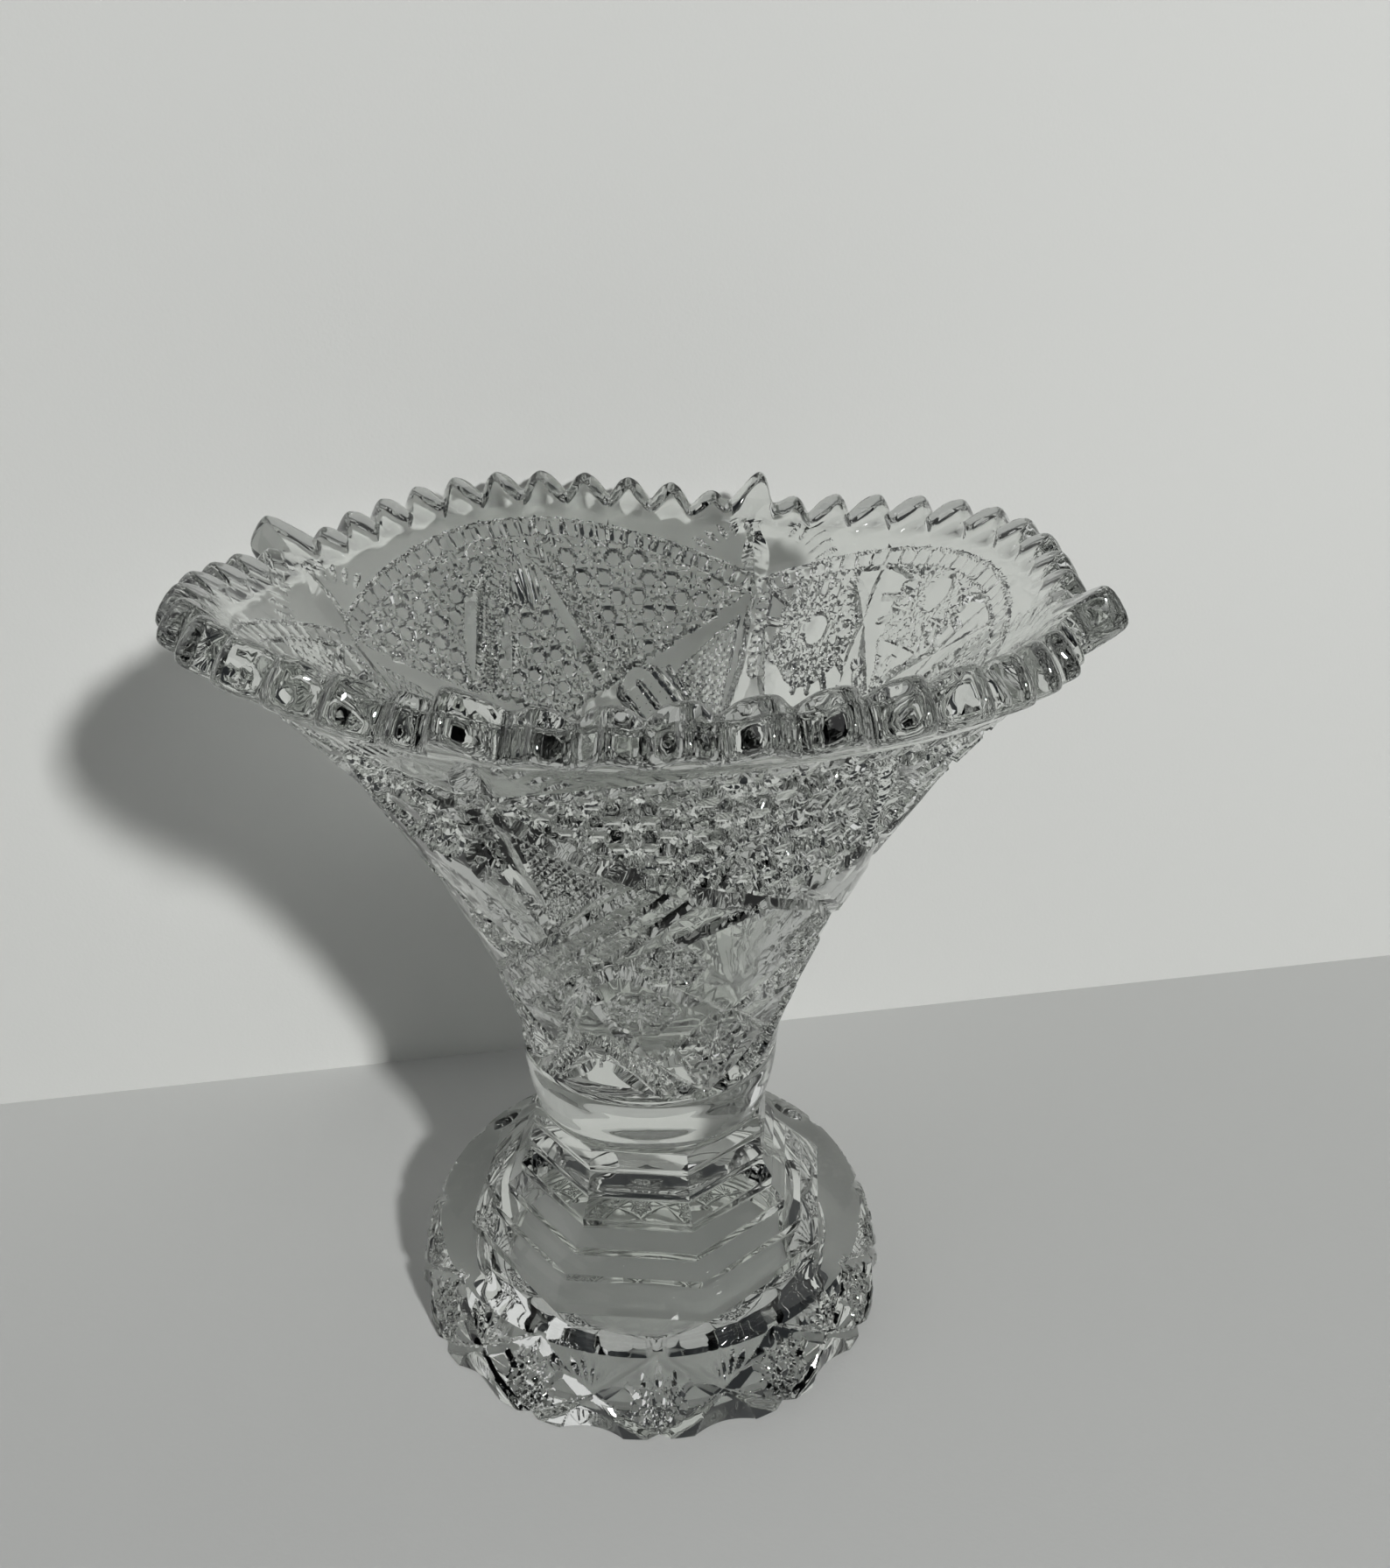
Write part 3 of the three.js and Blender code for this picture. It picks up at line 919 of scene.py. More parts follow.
@dataclass
class Bowl(GlassBody):
    """The flared bowl: outside wall with the pattern, toothed rim, smooth inside wall and floor.

    The pattern has four arches in a ring. The stops of its cuts count from an arch's middle.
    """

    name: str = "bowl"
    repeats: int = 2
    columns: int = 420
    start_azimuth: float = -90.0
    row_mm: float = 0.5
    inner_row_step: int = 3
    flare: Stops = (  # Shares of the way out and of the way up.
        (0, 0), (0.023, 0.077), (0.087, 0.192), (0.18, 0.308), (0.289, 0.423), (0.401, 0.538),
        (0.546, 0.654), (0.722, 0.769), (0.847, 0.85), (0.965, 0.912), (1.061, 0.946),
    )
    flare_steps: int = 40
    rim_zone: float = 28.0
    edge_round: float = 3.0
    edge_rows: int = 17
    edge_powers: tuple[float, float] = (0.55, 0.8)
    bead_out: float = 0.6
    bead_in: float = 2.2
    bead_zone: tuple[float, float] = (10.0, 8.0)  # Start below the rim, and length.
    tooth_softness: float = 0.45
    tooth_rounding: float = 0.5
    large_tooth_width: float = 0.85
    beside_large: float = 1.6
    beside_width: float = 0.6
    floor_rounding: float = 16.0
    floor_rows: int = 26
    floor_powers: tuple[float, float] = (0.7, 0.9)
    probe: float = 0.2
    lobe_zone: float = 0.3
    lobe_out: float = 1.7
    swell: float = 0.9
    swell_zone: tuple[float, float] = (86.0, 158.0)  # Heights where it comes and goes.
    swell_fade: float = 14.0
    deepening: float = 1.25
    swell_deepening: float = 0.3
    pattern_start: tuple[float, float] = (78.6, 0.6)  # Height, and length of the fade.
    foot_groove: tuple[float, float, float] = (80.2, 0.8, 0.9)  # Height, half width, depth.
    arches: tuple[tuple[ArchPattern, float], ...] = (
        (ArchPattern.HOBNAIL, -45.0), (ArchPattern.HOBNAIL, 135.0),
        (ArchPattern.HOBSTAR, 45.0), (ArchPattern.HOBSTAR, -135.0),
    )
    quarter: float = 45.0
    widening: float = 4.5
    arch_top: float = 192.7
    arch_drop: float = 12.6
    arch_power: float = 2.2
    border: Ribbon = Ribbon((), 4.2, 4.6, 1.2)
    border_stops: int = 21
    leaf: Cut = Cut(((0, 199.5), (0.45, 190.5), (1, 179)), 9.0, 3.0, 0.6)
    leaf_fan: Fan = Fan(0.9, 181.0, (19, 29, 38, 47, 56, 65), 18.5, 29.0, 1.7)
    nailhead_panel: Path = Path(((47.4, 173.8), (32.5, 157.8), (46.6, 140)), 0.4)
    nailhead_pitch: float = 2.3
    nailhead_depth: float = 0.8

    hobnail_foot: Stops = ((0, 147), (14, 153.3), (24, 158.6), (42, 171.3), (50, 181))
    buttons: Hobnails = Hobnails(0, 176.0, 6.6)
    hobnail_blades: tuple[Cut, ...] = (
        Cut(((-2, 191), (-12, 180), (-22.5, 160.5)), 7.2, 2.9, 0.6),
        Cut(((-1, 191), (-6, 176), (-11, 160)), 5.0, 2.6, 0.6),
        Cut(((0, 191.5), (5, 179), (14.5, 153)), 6.2, 2.8, 0.62),
    )
    hobnail_shield: Path = Path(((-1, 190.5), (5.6, 178.5), (0, 173), (-5, 177)), 0.8)
    shield_flute: float = 2.0
    hobnail_ladder: Ribbon = Ribbon(((-1, 191), (-9.2, 177.5), (-18, 159)), 3.0, 2.3, 1.1)

    hobstar_foot: Stops = ((0, 158), (15, 158), (24, 156), (33, 164), (40.5, 180))
    top_star: Hobstar = Hobstar(0, 186.0, 4.2, 11.5, 18, 1.35)
    side_star: Hobstar = Hobstar(24, 172.0, 4.0, 10.5, 16, 1.4)
    side_star_edge: Stops = ((157, 9), (176, 12.6), (187, 20))  # Heights and degrees.
    low_star: Hobstar = Hobstar(0, 160.0, 3.0, 9.0, 12, 1.2)
    low_star_corner: tuple[float, float] = (12, 174)  # Degrees and height.
    hobstar_facets: Path = Path(((38.5, 178), (36.5, 160)), 4.2)
    hobstar_facet_pitch: float = 3.4
    hobstar_blades: tuple[Cut, ...] = (
        Cut(((21.5, 187.5), (12.6, 176), (0, 161.5)), 7.2, 2.4),
        Cut(((15.6, 190.5), (12.8, 177), (11, 162)), 5.6, 2.4),
        Cut(((37, 172), (30, 152)), 6.0, 2.4, 0.65),
    )

    rib_mitres: tuple[Cut, ...] = (
        Cut(((49.5, 181), (42, 171.2), (33, 164.5), (24, 158.5), (14, 153.2), (0, 147)), 6.2, 1.8),
        Cut(((0, 147), (-17, 139.5), (-27, 132.5)), 5.2, 1.6),
        Cut(((49.5, 180), (51, 160), (49, 145), (46, 137)), 5.4, 1.7),
        Cut(((31, 158.5), (45.5, 138.5)), 2.4, 0.9),
    )
    fine_rib: Ribbon = Ribbon(
        ((0.5, 191.5), (6.9, 182), (11.6, 172), (19.5, 158)), 4.6, 3.4, 1.4, slant=1.6,
    )
    bold_rib: Ribbon = Ribbon(
        ((23, 155), (33, 143.5), (41, 135), (51, 127), (61, 119.5), (73, 112)),
        9.6, 2.9, 3.0, proud=1.2,
    )
    bold_rib_middle: Cut = Cut(
        ((23, 155), (33, 143.5), (41, 135), (61, 119.5), (73, 112)), 2.0, 1.6,
    )
    rib_blade: Cut = Cut(((-23, 159), (-33, 149.5), (-46, 137)), 7.4, 2.1)

    lower_foot: Stops = ((0, 79), (27, 94), (40, 113), (45, 121))
    lower_top: Stops = ((0, 146), (24, 136), (45, 128))
    lower_mitres: tuple[Cut, ...] = (
        Cut(((45, 121), (26, 133), (8, 146)), 5.6, 1.9),
        Cut(((1, 107), (22, 121), (45, 134)), 5.2, 1.9),
        Cut(((0, 78.5), (14, 84.5), (27, 93), (40, 112), (46, 121)), 4.6, 1.8),
        Cut(((2, 108), (24, 94)), 3.6, 1.4),
    )
    lower_ground: float = 0.5
    lower_facets: Path = Path(((19, 82.5), (42, 101)), 4.4)
    lower_facet_pitch: float = 2.6
    lower_blade: Cut = Cut(((24, 82), (45, 94)), 4.5, 1.6)
    lower_stars: tuple[SmallStar, ...] = (
        SmallStar(29, 112, 8.2), SmallStar(-27, 115, 8.2), SmallStar(20.5, 128.5, 7.4),
        SmallStar(-20, 130, 7.4), SmallStar(2, 97, 9.4),
    )
    lower_fan: Fan = Fan(0, 79, (-52, -36, -21, -7, 7, 21, 36, 52), 2.0, 11.5, 2.6)

    def profile(self) -> SurfaceOfRevolution:
        """The outside of the wall, from the collar to the tip of a middling tooth.

        Returns:
            The profile.
        """
        span = SIZES.mouth_radius - SIZES.waist_radius
        rise = SIZES.vase_height - SIZES.waist_height
        foot_r, foot_z = SIZES.waist_radius, SIZES.waist_height
        stops = [(foot_r + span * r, foot_z + rise * z) for r, z in self.flare]
        points = curve_through(stops, self.flare_steps)
        return SurfaceOfRevolution(points[:, 0], points[:, 1])

    def rim_reach(self) -> Grid:
        """How far the rim stands past the tip of a middling tooth, along the wall.

        Returns:
            Distances in millimetres, below 0 in the gaps between teeth.
        """
        pitch = 360 / SIZES.tooth_count
        soft, round_share = self.tooth_softness, self.tooth_rounding
        share = folded(self.azimuth / pitch, 1) * 2
        peak = (np.hypot(share, soft) - soft) / (math.hypot(1, soft) - soft)
        wave = (1 - round_share) * peak + round_share * (1 - np.cos(np.pi * share)) / 2
        arch = pitch * SIZES.teeth_per_arch
        off = folded(self.azimuth / arch, 1) * arch
        large = SIZES.large_tooth_rise * (1 - smooth(off / (pitch * self.large_tooth_width)))
        beside = self.beside_large * (1 - smooth(np.abs(off / pitch - 1) / self.beside_width))
        return SIZES.rim_bulge + large - beside - SIZES.tooth_depth * wave

    def rows(self) -> Grid:
        """Rows from the middle of the underside, up the outside, over the rim and down inside.

        Returns:
            Radius, height and fused share, by rows and columns.
        """
        shape = self.profile()
        total = float(shape.arc[-1])
        reach = self.rim_reach()[None, :]
        up = np.linspace(0, total, int(total / self.row_mm))[:, None]
        s = up + reach * np.clip((up - total + self.rim_zone) / self.rim_zone, 0, 1)
        top = total + reach - self.edge_round
        s = np.minimum(s, top)
        around = (np.pi * np.linspace(0, 1, self.edge_rows)[:, None])[1:-1]
        s_edge = top + self.edge_round * squared_off(np.sin(around), self.edge_powers[0])
        edge_share = (1 - squared_off(np.cos(around), self.edge_powers[1])) / 2
        s_in = s[::-self.inner_row_step]
        s_all = np.concatenate([s, s_edge, s_in])
        share = np.concatenate([
            np.zeros_like(s), np.broadcast_to(edge_share, s_edge.shape), np.ones_like(s_in),
        ])
        r, z = shape.at_arc(s_all)
        r_after, z_after = shape.at_arc(s_all + self.probe)
        r_before, z_before = shape.at_arc(np.maximum(s_all - self.probe, 0))
        size = np.hypot(r_after - r_before, z_after - z_before)
        depth = np.zeros_like(s_all)
        depth[:len(s)] = self.relief(shape.at_arc(s)[1], shape).depth
        bead = smooth((s_all - total + self.bead_zone[0]) / self.bead_zone[1])
        wall = SIZES.lower_wall + (SIZES.rim_thickness - SIZES.lower_wall) * smooth(s_all / total)
        thickness = wall + (self.bead_out + self.bead_in) * bead
        inward = depth - self.bead_out * bead + share * thickness
        r = r + -(z_after - z_before) / size * inward
        z = z + (r_after - r_before) / size * inward
        r, z = self.lobed(*self.with_floor(r, z, len(s) + len(s_edge)))
        under = self.face((0, 1, 12), SIZES.waist_height - SIZES.fused_overlap, self.waist_joined)
        return np.concatenate([under, self.free(r, z)])

    def with_floor(self, r: Grid, z: Grid, inner: int) -> tuple[Grid, Grid]:
        """Rounds the inside wall into the floor.

        Args:
            r: radii of all rows.
            z: heights of all rows.
            inner: the first row of the inside wall.

        Returns:
            The radii and heights with the floor in place of the wall's lowest rows.
        """
        floor = SIZES.floor_height
        keep = (np.arange(len(r)) < inner) | (z[:, 0] > floor + self.floor_rounding)
        wall_r, wall_z = float(r[keep][-1, 0]), float(z[keep][-1, 0])
        bend = np.linspace(0, 1, self.floor_rows)[1:] * math.pi / 2
        floor_r = wall_r * np.cos(bend) ** self.floor_powers[0]
        floor_z = floor + (wall_z - floor) * (1 - np.sin(bend) ** self.floor_powers[1])
        floor_r[-1] = 0.0
        ones = np.ones(r.shape[1])[None, :]
        return (
            np.concatenate([r[keep], floor_r[:, None] * ones]),
            np.concatenate([z[keep], floor_z[:, None] * ones]),
        )

    def lobed(self, r: Grid, z: Grid) -> tuple[Grid, Grid]:
        """Swells the mouth outwards and upwards between the large teeth.

        Args:
            r: radii of all rows.
            z: heights of all rows.

        Returns:
            The radii and heights of the four-lobed bowl.
        """
        rise = SIZES.vase_height - SIZES.waist_height
        start = SIZES.waist_height + (1 - self.lobe_zone) * rise
        amount = smooth((z - start) / (self.lobe_zone * rise))
        turn = np.radians(self.azimuth) * SIZES.tooth_count / SIZES.teeth_per_arch
        wave = np.cos(turn)[None, :] * amount
        swell = np.where(wave > 0, SIZES.lobe_swell, SIZES.lobe_swell * self.lobe_out)
        return r * (1 - swell * wave), z - SIZES.lobe_rise * wave

    def relief(self, z: Grid, shape: SurfaceOfRevolution) -> ReliefField:
        """The whole pattern of the outside.

        Args:
            z: height of each point on the smooth wall.
            shape: the outside profile.

        Returns:
            The relief with its depths filled in.
        """
        relief = ReliefField(shape, np.broadcast_to(self.azimuth, z.shape), z)
        hobnail_arches = [middle for kind, middle in self.arches if kind is ArchPattern.HOBNAIL]
        for _, middle in self.arches:
            self.lower_panel(relief, middle)
        for kind, middle in self.arches:
            self.arch_panel(relief, middle, kind)
        for middle in hobnail_arches:
            self.crossing_ribs(relief, middle)
        shares = np.linspace(-1, 1, self.border_stops)
        for kind, middle in self.arches:
            line = tuple((self.half_width(kind) * t, self.arch_line(t)) for t in shares)
            relief.ribbon(replace(self.border, stops=line).at(middle))
        sides = [(middle, side) for middle in hobnail_arches for side in (-1, 1)]
        for middle, side in sides:
            self.leaf_and_fans(relief, middle + side * self.quarter, side * self.widening)
        for middle, side in sides:
            panel = self.nailhead_panel.at(middle, side)
            relief.nailheads(panel, self.nailhead_pitch, self.nailhead_depth)
        low, high = (smooth((z - height) / self.swell_fade) for height in self.swell_zone)
        fuller = self.swell * low * (1 - high)
        start = smooth((z - self.pattern_start[0]) / self.pattern_start[1])
        relief.depth = (
            relief.depth * (self.deepening + self.swell_deepening * fuller) * start - fuller
        )
        height, width, depth = self.foot_groove
        groove = depth * nearness(np.abs(z - height), width)
        relief.fill(groove, np.maximum(relief.depth, groove))
        return relief

    def half_width(self, kind: ArchPattern) -> float:
        """Half the width of an arch in degrees; the hobnail arches are the wider ones."""
        return self.quarter + (self.widening if kind is ArchPattern.HOBNAIL else -self.widening)

    def arch_line(self, share: float | Grid) -> float | Grid:
        """Height of the middle of an arch's border, at a share of its half width."""
        return self.arch_top - self.arch_drop * np.abs(share) ** self.arch_power

    def leaf_and_fans(self, relief: ReliefField, junction: float, lean: float) -> None:
        """Cuts the leaf below a large tooth, leaning at its foot, with a fan on each side.

        Args:
            relief: the relief.
            junction: the large tooth's azimuth.
            lean: how far the leaf's foot leans, in degrees.
        """
        relief.blade(self.leaf.at(junction, lean))
        fan = self.leaf_fan.at(junction, lean)
        for side in (-1, 1):
            relief.fan(replace(fan, angles=tuple(side * angle for angle in fan.angles)))

    def arch_panel(self, relief: ReliefField, middle: float, kind: ArchPattern) -> None:
        """Fills the space under an arch.

        Args:
            relief: the relief.
            middle: the arch's middle.
            kind: the arch's pattern.
        """
        hobnail, half = kind is ArchPattern.HOBNAIL, self.half_width(kind)
        offset = degrees_from(relief.azimuth, middle)
        top = self.arch_line(np.clip(offset / half, -1, 1))
        foot = self.hobnail_foot if hobnail else self.hobstar_foot
        low = np.interp(np.abs(offset), *zip(*foot))
        inside = np.minimum(top - relief.height, relief.height - low)
        within = np.where(np.abs(offset) < half, inside, -1.0)
        if hobnail:
            relief.hobnails(within, self.buttons.at(middle))
            relief.shield(self.hobnail_shield.at(middle), self.shield_flute)
            relief.blades([cut.at(middle) for cut in self.hobnail_blades])
            relief.ribbon(self.hobnail_ladder.at(middle))
            return
        relief.hobstar(within, self.top_star.at(middle))
        edge = np.interp(relief.height, *zip(*self.side_star_edge))
        for side in (-1, 1):
            beyond = np.where(side * offset > edge, within, -1.0)
            relief.hobstar(beyond, self.side_star.at(middle, side))
        width, top = self.low_star_corner
        below = np.where((np.abs(offset) < width) & (relief.height < top), within, -1.0)
        relief.hobstar(below, self.low_star.at(middle))
        for side in (-1, 1):
            relief.facets(self.hobstar_facets.at(middle, side), self.hobstar_facet_pitch)
        relief.blades([cut.at(middle, side) for side in (-1, 1) for cut in self.hobstar_blades])

    def crossing_ribs(self, relief: ReliefField, middle: float) -> None:
        """Cuts the ribs that sweep out of a hobnail arch and cross the ones beside it.

        Args:
            relief: the relief.
            middle: the arch's middle.
        """
        for side in (-1, 1):
            for cut in self.rib_mitres:
                relief.mitre(cut.at(middle, side))
        relief.ribbon(self.fine_rib.at(middle))
        relief.ribbon(self.bold_rib.at(middle))
        relief.mitre(self.bold_rib_middle.at(middle))
        relief.blade(self.rib_blade.at(middle))

    def lower_panel(self, relief: ReliefField, middle: float) -> None:
        """Cuts the V, stars and fan between the crossing ribs and the collar.

        Args:
            relief: the relief.
            middle: the middle of the arch above.
        """
        offset = np.abs(degrees_from(relief.azimuth, middle))
        low = np.interp(offset, *zip(*self.lower_foot))
        high = np.interp(offset, *zip(*self.lower_top))
        inside = np.minimum(high - relief.height, relief.height - low)
        relief.fill(np.where(offset < self.quarter, inside, -1.0), self.lower_ground)
        for side in (-1, 1):
            for cut in self.lower_mitres:
                relief.mitre(cut.at(middle, side))
            relief.facets(self.lower_facets.at(middle, side), self.lower_facet_pitch)
            relief.blade(self.lower_blade.at(middle, side))
        for star in self.lower_stars:
            relief.small_star(star.at(middle))
        relief.fan(self.lower_fan.at(middle))


@dataclass
class Collar(GlassBody):
    """The plain polished ring between the bowl and the foot."""

    name: str = "collar"
    repeats: int = 4
    columns: int = 48
    side: Stops = ((1.0, 0.0), (0.95, 0.25), (0.6, 0.6), (0.1, 0.88), (0.0, 1.0))
    side_steps: int = 8
    face_rings: tuple[float, ...] = (0, 1, 16)
    lowest_radius: float = 31.6
    top_overlap: float = 0.05

    def rows(self) -> Grid:
        """Rows from the middle of the underside to the middle of the top.

        Returns:
            Radius, height and fused share, by rows and columns.
        """
        low, high = SIZES.neck_height, SIZES.waist_height
        swell = SIZES.waist_radius - SIZES.neck_radius
        stops = [(SIZES.neck_radius + swell * f, high + (low - high) * t) for f, t in self.side]
        side = curve_through(stops, self.side_steps)[::-1]
        under, over = low - SIZES.fused_overlap, high + self.top_overlap
        return np.concatenate([
            self.face(self.face_rings, under, self.neck_joined),
            self.rings(((self.lowest_radius, under), *side)),
            self.face(self.face_rings, over, self.waist_joined)[::-1],
        ])


@dataclass
class Foot(GlassBody):
    """The foot: eight-sided steps, a smooth shoulder, a skirt of cut diamonds and a hollow."""

    name: str = "foot"
    repeats: int = 4
    columns: int = 240
    start_azimuth: float = SIZES.foot_turn
    arris: float = 0.5
    arris_share: float = 0.4
    arris_points: tuple[float, ...] = (0.0, 0.33, 0.67, 1.0)
    undercut: float = 0.35
    # Shares of the foot's radius and of the rise to the neck, and the riser's height.
    step_corners: tuple[tuple[float, float, float], ...] = (
        (0.495, 1, 0.8), (0.506, 0.86, 1.5), (0.523, 0.68, 2.2), (0.566, 0.497, 2.8),
        (0.625, 0.335, 3.0), (0.7, 0.215, 3.1), (0.785, 0.077, 3.2),
    )
    # Shares of the hollow's radius and height, and of the foot's radius and skirt's height.
    hollow: Stops = ((0, 1), (0.2, 0.985), (0.4, 0.93), (0.72, 0.67), (0.93, 0.32), (1, 0.02))
    shoulder: Stops = ((0.885, 0.985), (0.868, 1.0), (0.84, 1.012))
    ring_inset: tuple[float, float] = (0.5, 5.5)  # From the hollow's edge and the skirt's.
    hollow_steps: int = 10
    skirt_stops: int = 80
    skirt_rows: int = 70
    skirt_top: float = 0.96
    skirt_lean: float = 0.012
    skirt_curl: float = 0.09
    curl_power: float = 2.6
    skirt_star: Hobstar = Hobstar(0, 10.0, 1.9, 5.6, 12, 1.15)
    skirt_fan: Fan = Fan(0, 11.0, (-50, -33, -16, 0, 16, 33, 50), 1.5, 12.0, 2.6)
    scoop_depth: float = 2.6
    scoop_height: float = 13.0
    scoop_spread: float = 28.0

    def side_stops(self) -> Stops:
        """The steps' corners from the top down, each a riser, then a sloping tread.

        Returns:
            The corners' radii and heights.
        """
        drop = SIZES.neck_height - SIZES.skirt_height
        stops: list[tuple[float, float]] = []
        for share, t, riser in self.step_corners:
            r, z = SIZES.foot_radius * share, SIZES.skirt_height + drop * t
            stops += [(r, z), (r - self.undercut, z - riser)]
        return tuple(stops)

    def skirt(self) -> SurfaceOfRevolution:
        """The outside of the skirt, from the table up.

        Returns:
            The profile.
        """
        z = np.linspace(0, SIZES.skirt_height * self.skirt_top, self.skirt_stops)
        t = z / SIZES.skirt_height
        share = 1 - self.skirt_lean * t - self.skirt_curl * t ** self.curl_power
        return SurfaceOfRevolution(SIZES.foot_radius * share, z)

    def rows(self) -> Grid:
        """Rows from the top of the hollow, under the rim, up the skirt and steps to the top.

        Returns:
            Radius, height and fused share, by rows and columns.
        """
        size = [SIZES.hollow_radius, SIZES.hollow_height]
        hollow = curve_through(self.hollow, self.hollow_steps) * size
        base = (
            (SIZES.hollow_radius + self.ring_inset[0], 0.0),
            (SIZES.foot_radius - self.ring_inset[1], 0.0),
        )
        shoulder = [(SIZES.foot_radius * r, SIZES.skirt_height * z) for r, z in self.shoulder]
        shape = self.skirt()
        up = np.linspace(0, shape.arc[-1], self.skirt_rows)[:, None]
        r, z = shape.at_arc(np.broadcast_to(up, (self.skirt_rows, len(self.azimuth))))
        r = r - self.relief(z, shape).depth
        return np.concatenate([
            self.rings((*hollow, *base)), self.free(r, z), self.rings(shoulder), self.steps(),
            self.face((0, 1, 20), SIZES.neck_height, self.neck_joined)[::-1],
        ])

    def steps(self) -> Grid:
        """The eight-sided steps from the shoulder up, each with a small rounded arris.

        Returns:
            Radius, height and fused share, by rows and columns.
        """
        side = 360 / SIZES.foot_sides
        turn = np.radians((self.azimuth - SIZES.foot_turn) % side - side / 2)
        flat = (math.cos(math.radians(side / 2)) / np.cos(turn))[None, :]
        stops = [np.array(stop) for stop in self.side_stops()[::-1]]
        points = [stops[0]]
        for before, here, after in zip(stops, stops[1:], stops[2:]):
            a, b = before - here, after - here
            size_a, size_b = np.hypot(*a), np.hypot(*b)
            reach = min(self.arris, size_a * self.arris_share, size_b * self.arris_share)
            start, end = here + a / size_a * reach, here + b / size_b * reach
            for t in self.arris_points:
                points.append((1 - t) ** 2 * start + 2 * t * (1 - t) * here + t ** 2 * end)
        radii, heights = np.array([*points, stops[-1]]).T[..., None]
        return self.free(radii * flat, heights * np.ones_like(flat))

    def relief(self, z: Grid, shape: SurfaceOfRevolution) -> ReliefField:
        """The diamonds, stars, fans and scoops of the skirt.

        Args:
            z: height of each point.
            shape: the outside of the skirt.

        Returns:
            The relief with its depths filled in.
        """
        relief = ReliefField(shape, np.broadcast_to(self.azimuth, z.shape), z)
        spacing = 360 / SIZES.skirt_stars
        half = spacing / 2
        stars = range(-1, SIZES.skirt_stars // self.repeats + 2)
        apexes = [SIZES.foot_turn + star * spacing for star in stars]
        diamond = Path(((0, 20.8), (half, 10.6), (0, -0.5), (-half, 10.6)), 0.9)
        edge = Cut(((0, 21.6), (half, 11.0), (spacing, -0.4)), 3.4, 1.7)
        for apex in apexes:
            within = relief.inside(diamond.at(apex).stops) - diamond.width
            relief.hobstar(within, self.skirt_star.at(apex))
            relief.fan(self.skirt_fan.at(apex + half))
        for apex in apexes:
            for side in (-1, 1):
                relief.mitre(edge.at(apex, side))
            x, y = relief.local(apex + half, 0.0)
            scoop = self.scoop_depth * (1 - y / self.scoop_height) - x ** 2 / self.scoop_spread
            relief.fill(scoop > 0.25, np.maximum(relief.depth * (scoop < 0.6), scoop))
        return relief


@dataclass(frozen=True)
class PhotographView:
    """The camera at the photograph's viewpoint, with angles in radians and places in metres."""

    turn_degrees: float = 19.15
    yaw: float = 0.037706
    pitch: float = 0.41230
    roll: float = 0.010633
    place: tuple[float, float, float] = (0.0, -0.3037, 0.2842)
    focal_pixels: float = 1498.85
    frame_pixels: float = 1791
    sensor_mm: float = 36.0
    nearest: float = 0.01

    def set_up(self) -> Object:
        """Sets the camera up and makes it the scene's own.

        Returns:
            The camera.
        """
        yaw, pitch, roll = self.yaw, self.pitch, self.roll
        forward = Vector((
            math.sin(yaw) * math.cos(pitch), math.cos(yaw) * math.cos(pitch), -math.sin(pitch),
        ))
        right = Vector((math.cos(yaw), -math.sin(yaw), 0))
        up = right.cross(forward)
        right, up = (
            math.cos(roll) * right + math.sin(roll) * up,
            -math.sin(roll) * right + math.cos(roll) * up,
        )
        spin = Matrix.Rotation(math.radians(self.turn_degrees), 3, "Z")
        place = Matrix([spin @ v for v in (right, up, -forward)]).transposed().to_4x4()
        place.translation = spin @ Vector(self.place)
        lens = bpy.data.cameras.new("camera")
        lens.sensor_width = self.sensor_mm
        lens.lens = self.focal_pixels / self.frame_pixels * self.sensor_mm
        lens.clip_start = self.nearest
        camera = add_object("camera", lens)
        camera.matrix_world = place
        bpy.context.scene.camera = camera
        return camera


@dataclass(frozen=True)
class SoftLamp:
    """A soft square lamp that faces the vase, in degrees, metres and watts."""

    name: str
    azimuth: float
    elevation: float
    distance: float
    size: float
    power: float
    aim_height: float = 0.1

    def hang(self) -> Object:
        """Hangs the lamp.

        Returns:
            The lamp.
        """
        azimuth, elevation = math.radians(self.azimuth), math.radians(self.elevation)
        data = bpy.data.lights.new(self.name, "AREA")
        data.size = self.size
        data.energy = self.power
        lamp = add_object(self.name, data)
        out = Vector((
            math.sin(azimuth) * math.cos(elevation), math.cos(azimuth) * math.cos(elevation),
            math.sin(elevation),
        ))
        lamp.location = out * self.distance + Vector((0, 0, self.aim_height))
        lamp.rotation_euler = out.to_track_quat("Z", "Y").to_euler()
        lamp.visible_camera = False
        return lamp


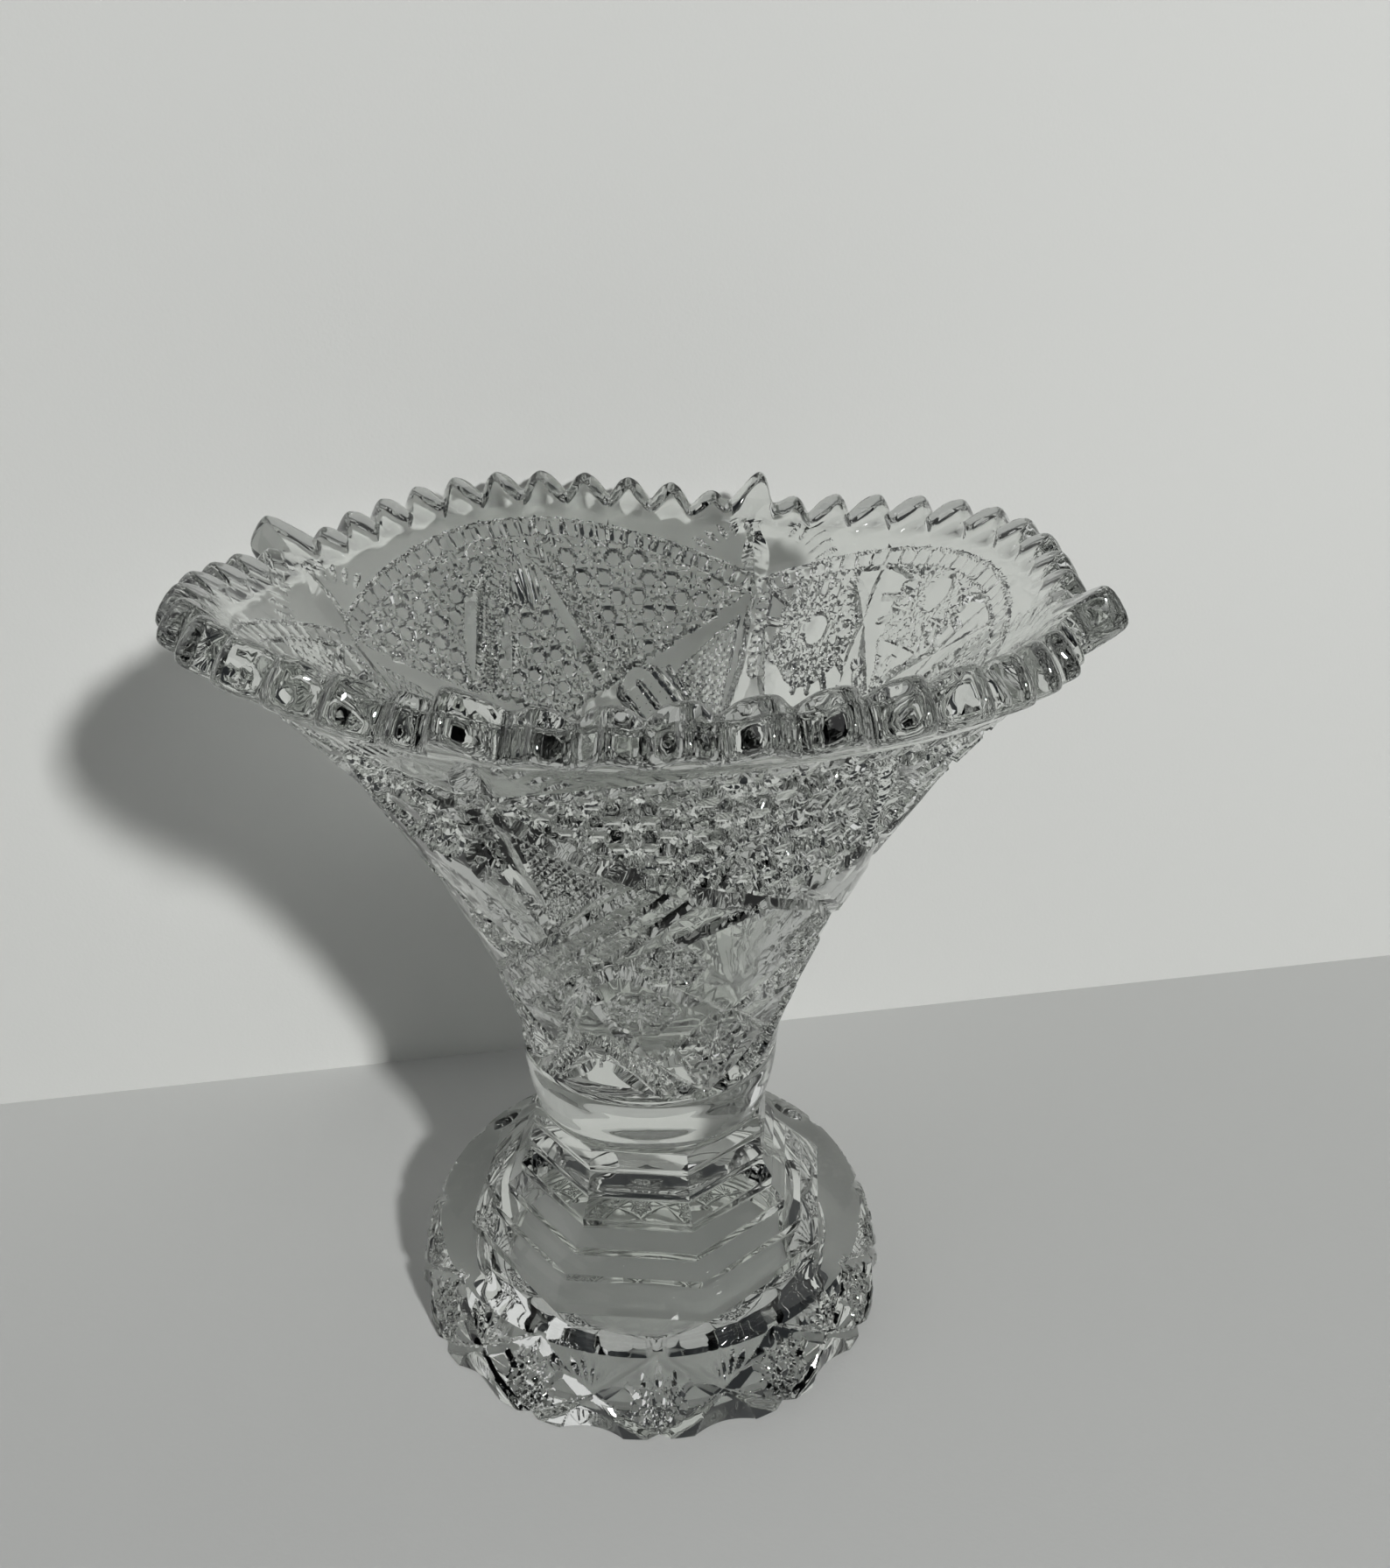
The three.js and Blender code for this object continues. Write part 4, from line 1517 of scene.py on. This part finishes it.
@dataclass
class Studio:
    """A pale floor and wall in a dim room, two soft lamps, and the camera."""

    wall: PaintedBoard = PaintedBoard("painted_wall_board", "CDCECB", one_sided=True)
    floor: PaintedBoard = PaintedBoard("painted_floor_board", "C3C4C2")
    floor_behind: PaintedBoard = PaintedBoard(
        "painted_floor_board_behind", "B8B9B7", seen_directly=0.9,
    )
    room_hex: str = "2A2C2E"
    view: PhotographView = PhotographView()
    lamps: tuple[SoftLamp, ...] = (
        SoftLamp("lamp_key", 130.0, 29.0, 2.4, 0.16, 51.0),
        SoftLamp("lamp_fill", -128.0, 36.0, 1.1, 1.0, 2.3),
    )
    wall_left: tuple[float, float, float] = (-0.236, -0.0035, -0.0004)
    wall_right: tuple[float, float, float] = (0.2404, 0.2566, -0.0004)
    wall_past_left: float = 0.1
    wall_past_right: float = 0.2
    wall_height: float = 0.46
    floor_past: float = 1.2

    def board(self, name: str, corners: list[Vector], finish: PaintedBoard) -> None:
        """Makes one flat board of the set.

        Args:
            name: the board's name.
            corners: its corners in order.
            finish: its paint.
        """
        mesh = bpy.data.meshes.new(name)
        mesh.from_pydata(corners, [], [range(len(corners))])
        board = add_object(name, mesh)
        mesh.materials.append(finish.make())

    def boards(self) -> None:
        """Lays the floor and stands the wall along the line that the photograph shows."""
        left, right = Vector(self.wall_left), Vector(self.wall_right)
        along = (right - left).normalized()
        away = Vector((-along.y, along.x, 0))
        a, b = left - along * self.floor_past, right + along * self.floor_past
        self.board("floor", [a - away, b - away, b, a], self.floor)
        self.board("floor_behind", [a, b, b + away, a + away], self.floor_behind)
        a, b = left - along * self.wall_past_left, right + along * self.wall_past_right
        up = Vector((0, 0, self.wall_height))
        self.board("wall", [a, b, b + up, a + up], self.wall)

    def world(self) -> None:
        """Makes the room: dim round the glass, pale where the camera looks past the boards."""
        world = bpy.data.worlds.new("studio")
        bpy.context.scene.world = world
        tree = empty_tree(world)
        room, pale = (
            add_node(tree, "ShaderNodeBackground", inputs={"Color": linear(colour)})
            for colour in (self.room_hex, self.wall.colour_hex)
        )
        camera = add_node(tree, "ShaderNodeLightPath").outputs["Is Camera Ray"]
        both = add_node(tree, "ShaderNodeMixShader", inputs={0: camera, 1: room, 2: pale})
        add_node(tree, "ShaderNodeOutputWorld", inputs={"Surface": both})

    def build(self) -> None:
        """Builds the set."""
        bpy.context.scene.view_settings.view_transform = "Standard"
        self.world()
        self.view.set_up()
        self.boards()
        for lamp in self.lamps:
            lamp.hang()


def main() -> None:
    """Builds the studio and the three pieces of the vase."""
    logging.basicConfig(level=logging.INFO, format="%(name)s: %(message)s")
    Studio().build()
    glass = PressedGlass().make()
    for piece in (Foot(glass), Collar(glass), Bowl(glass)):
        piece.build()


if __name__ == "__main__":
    main()
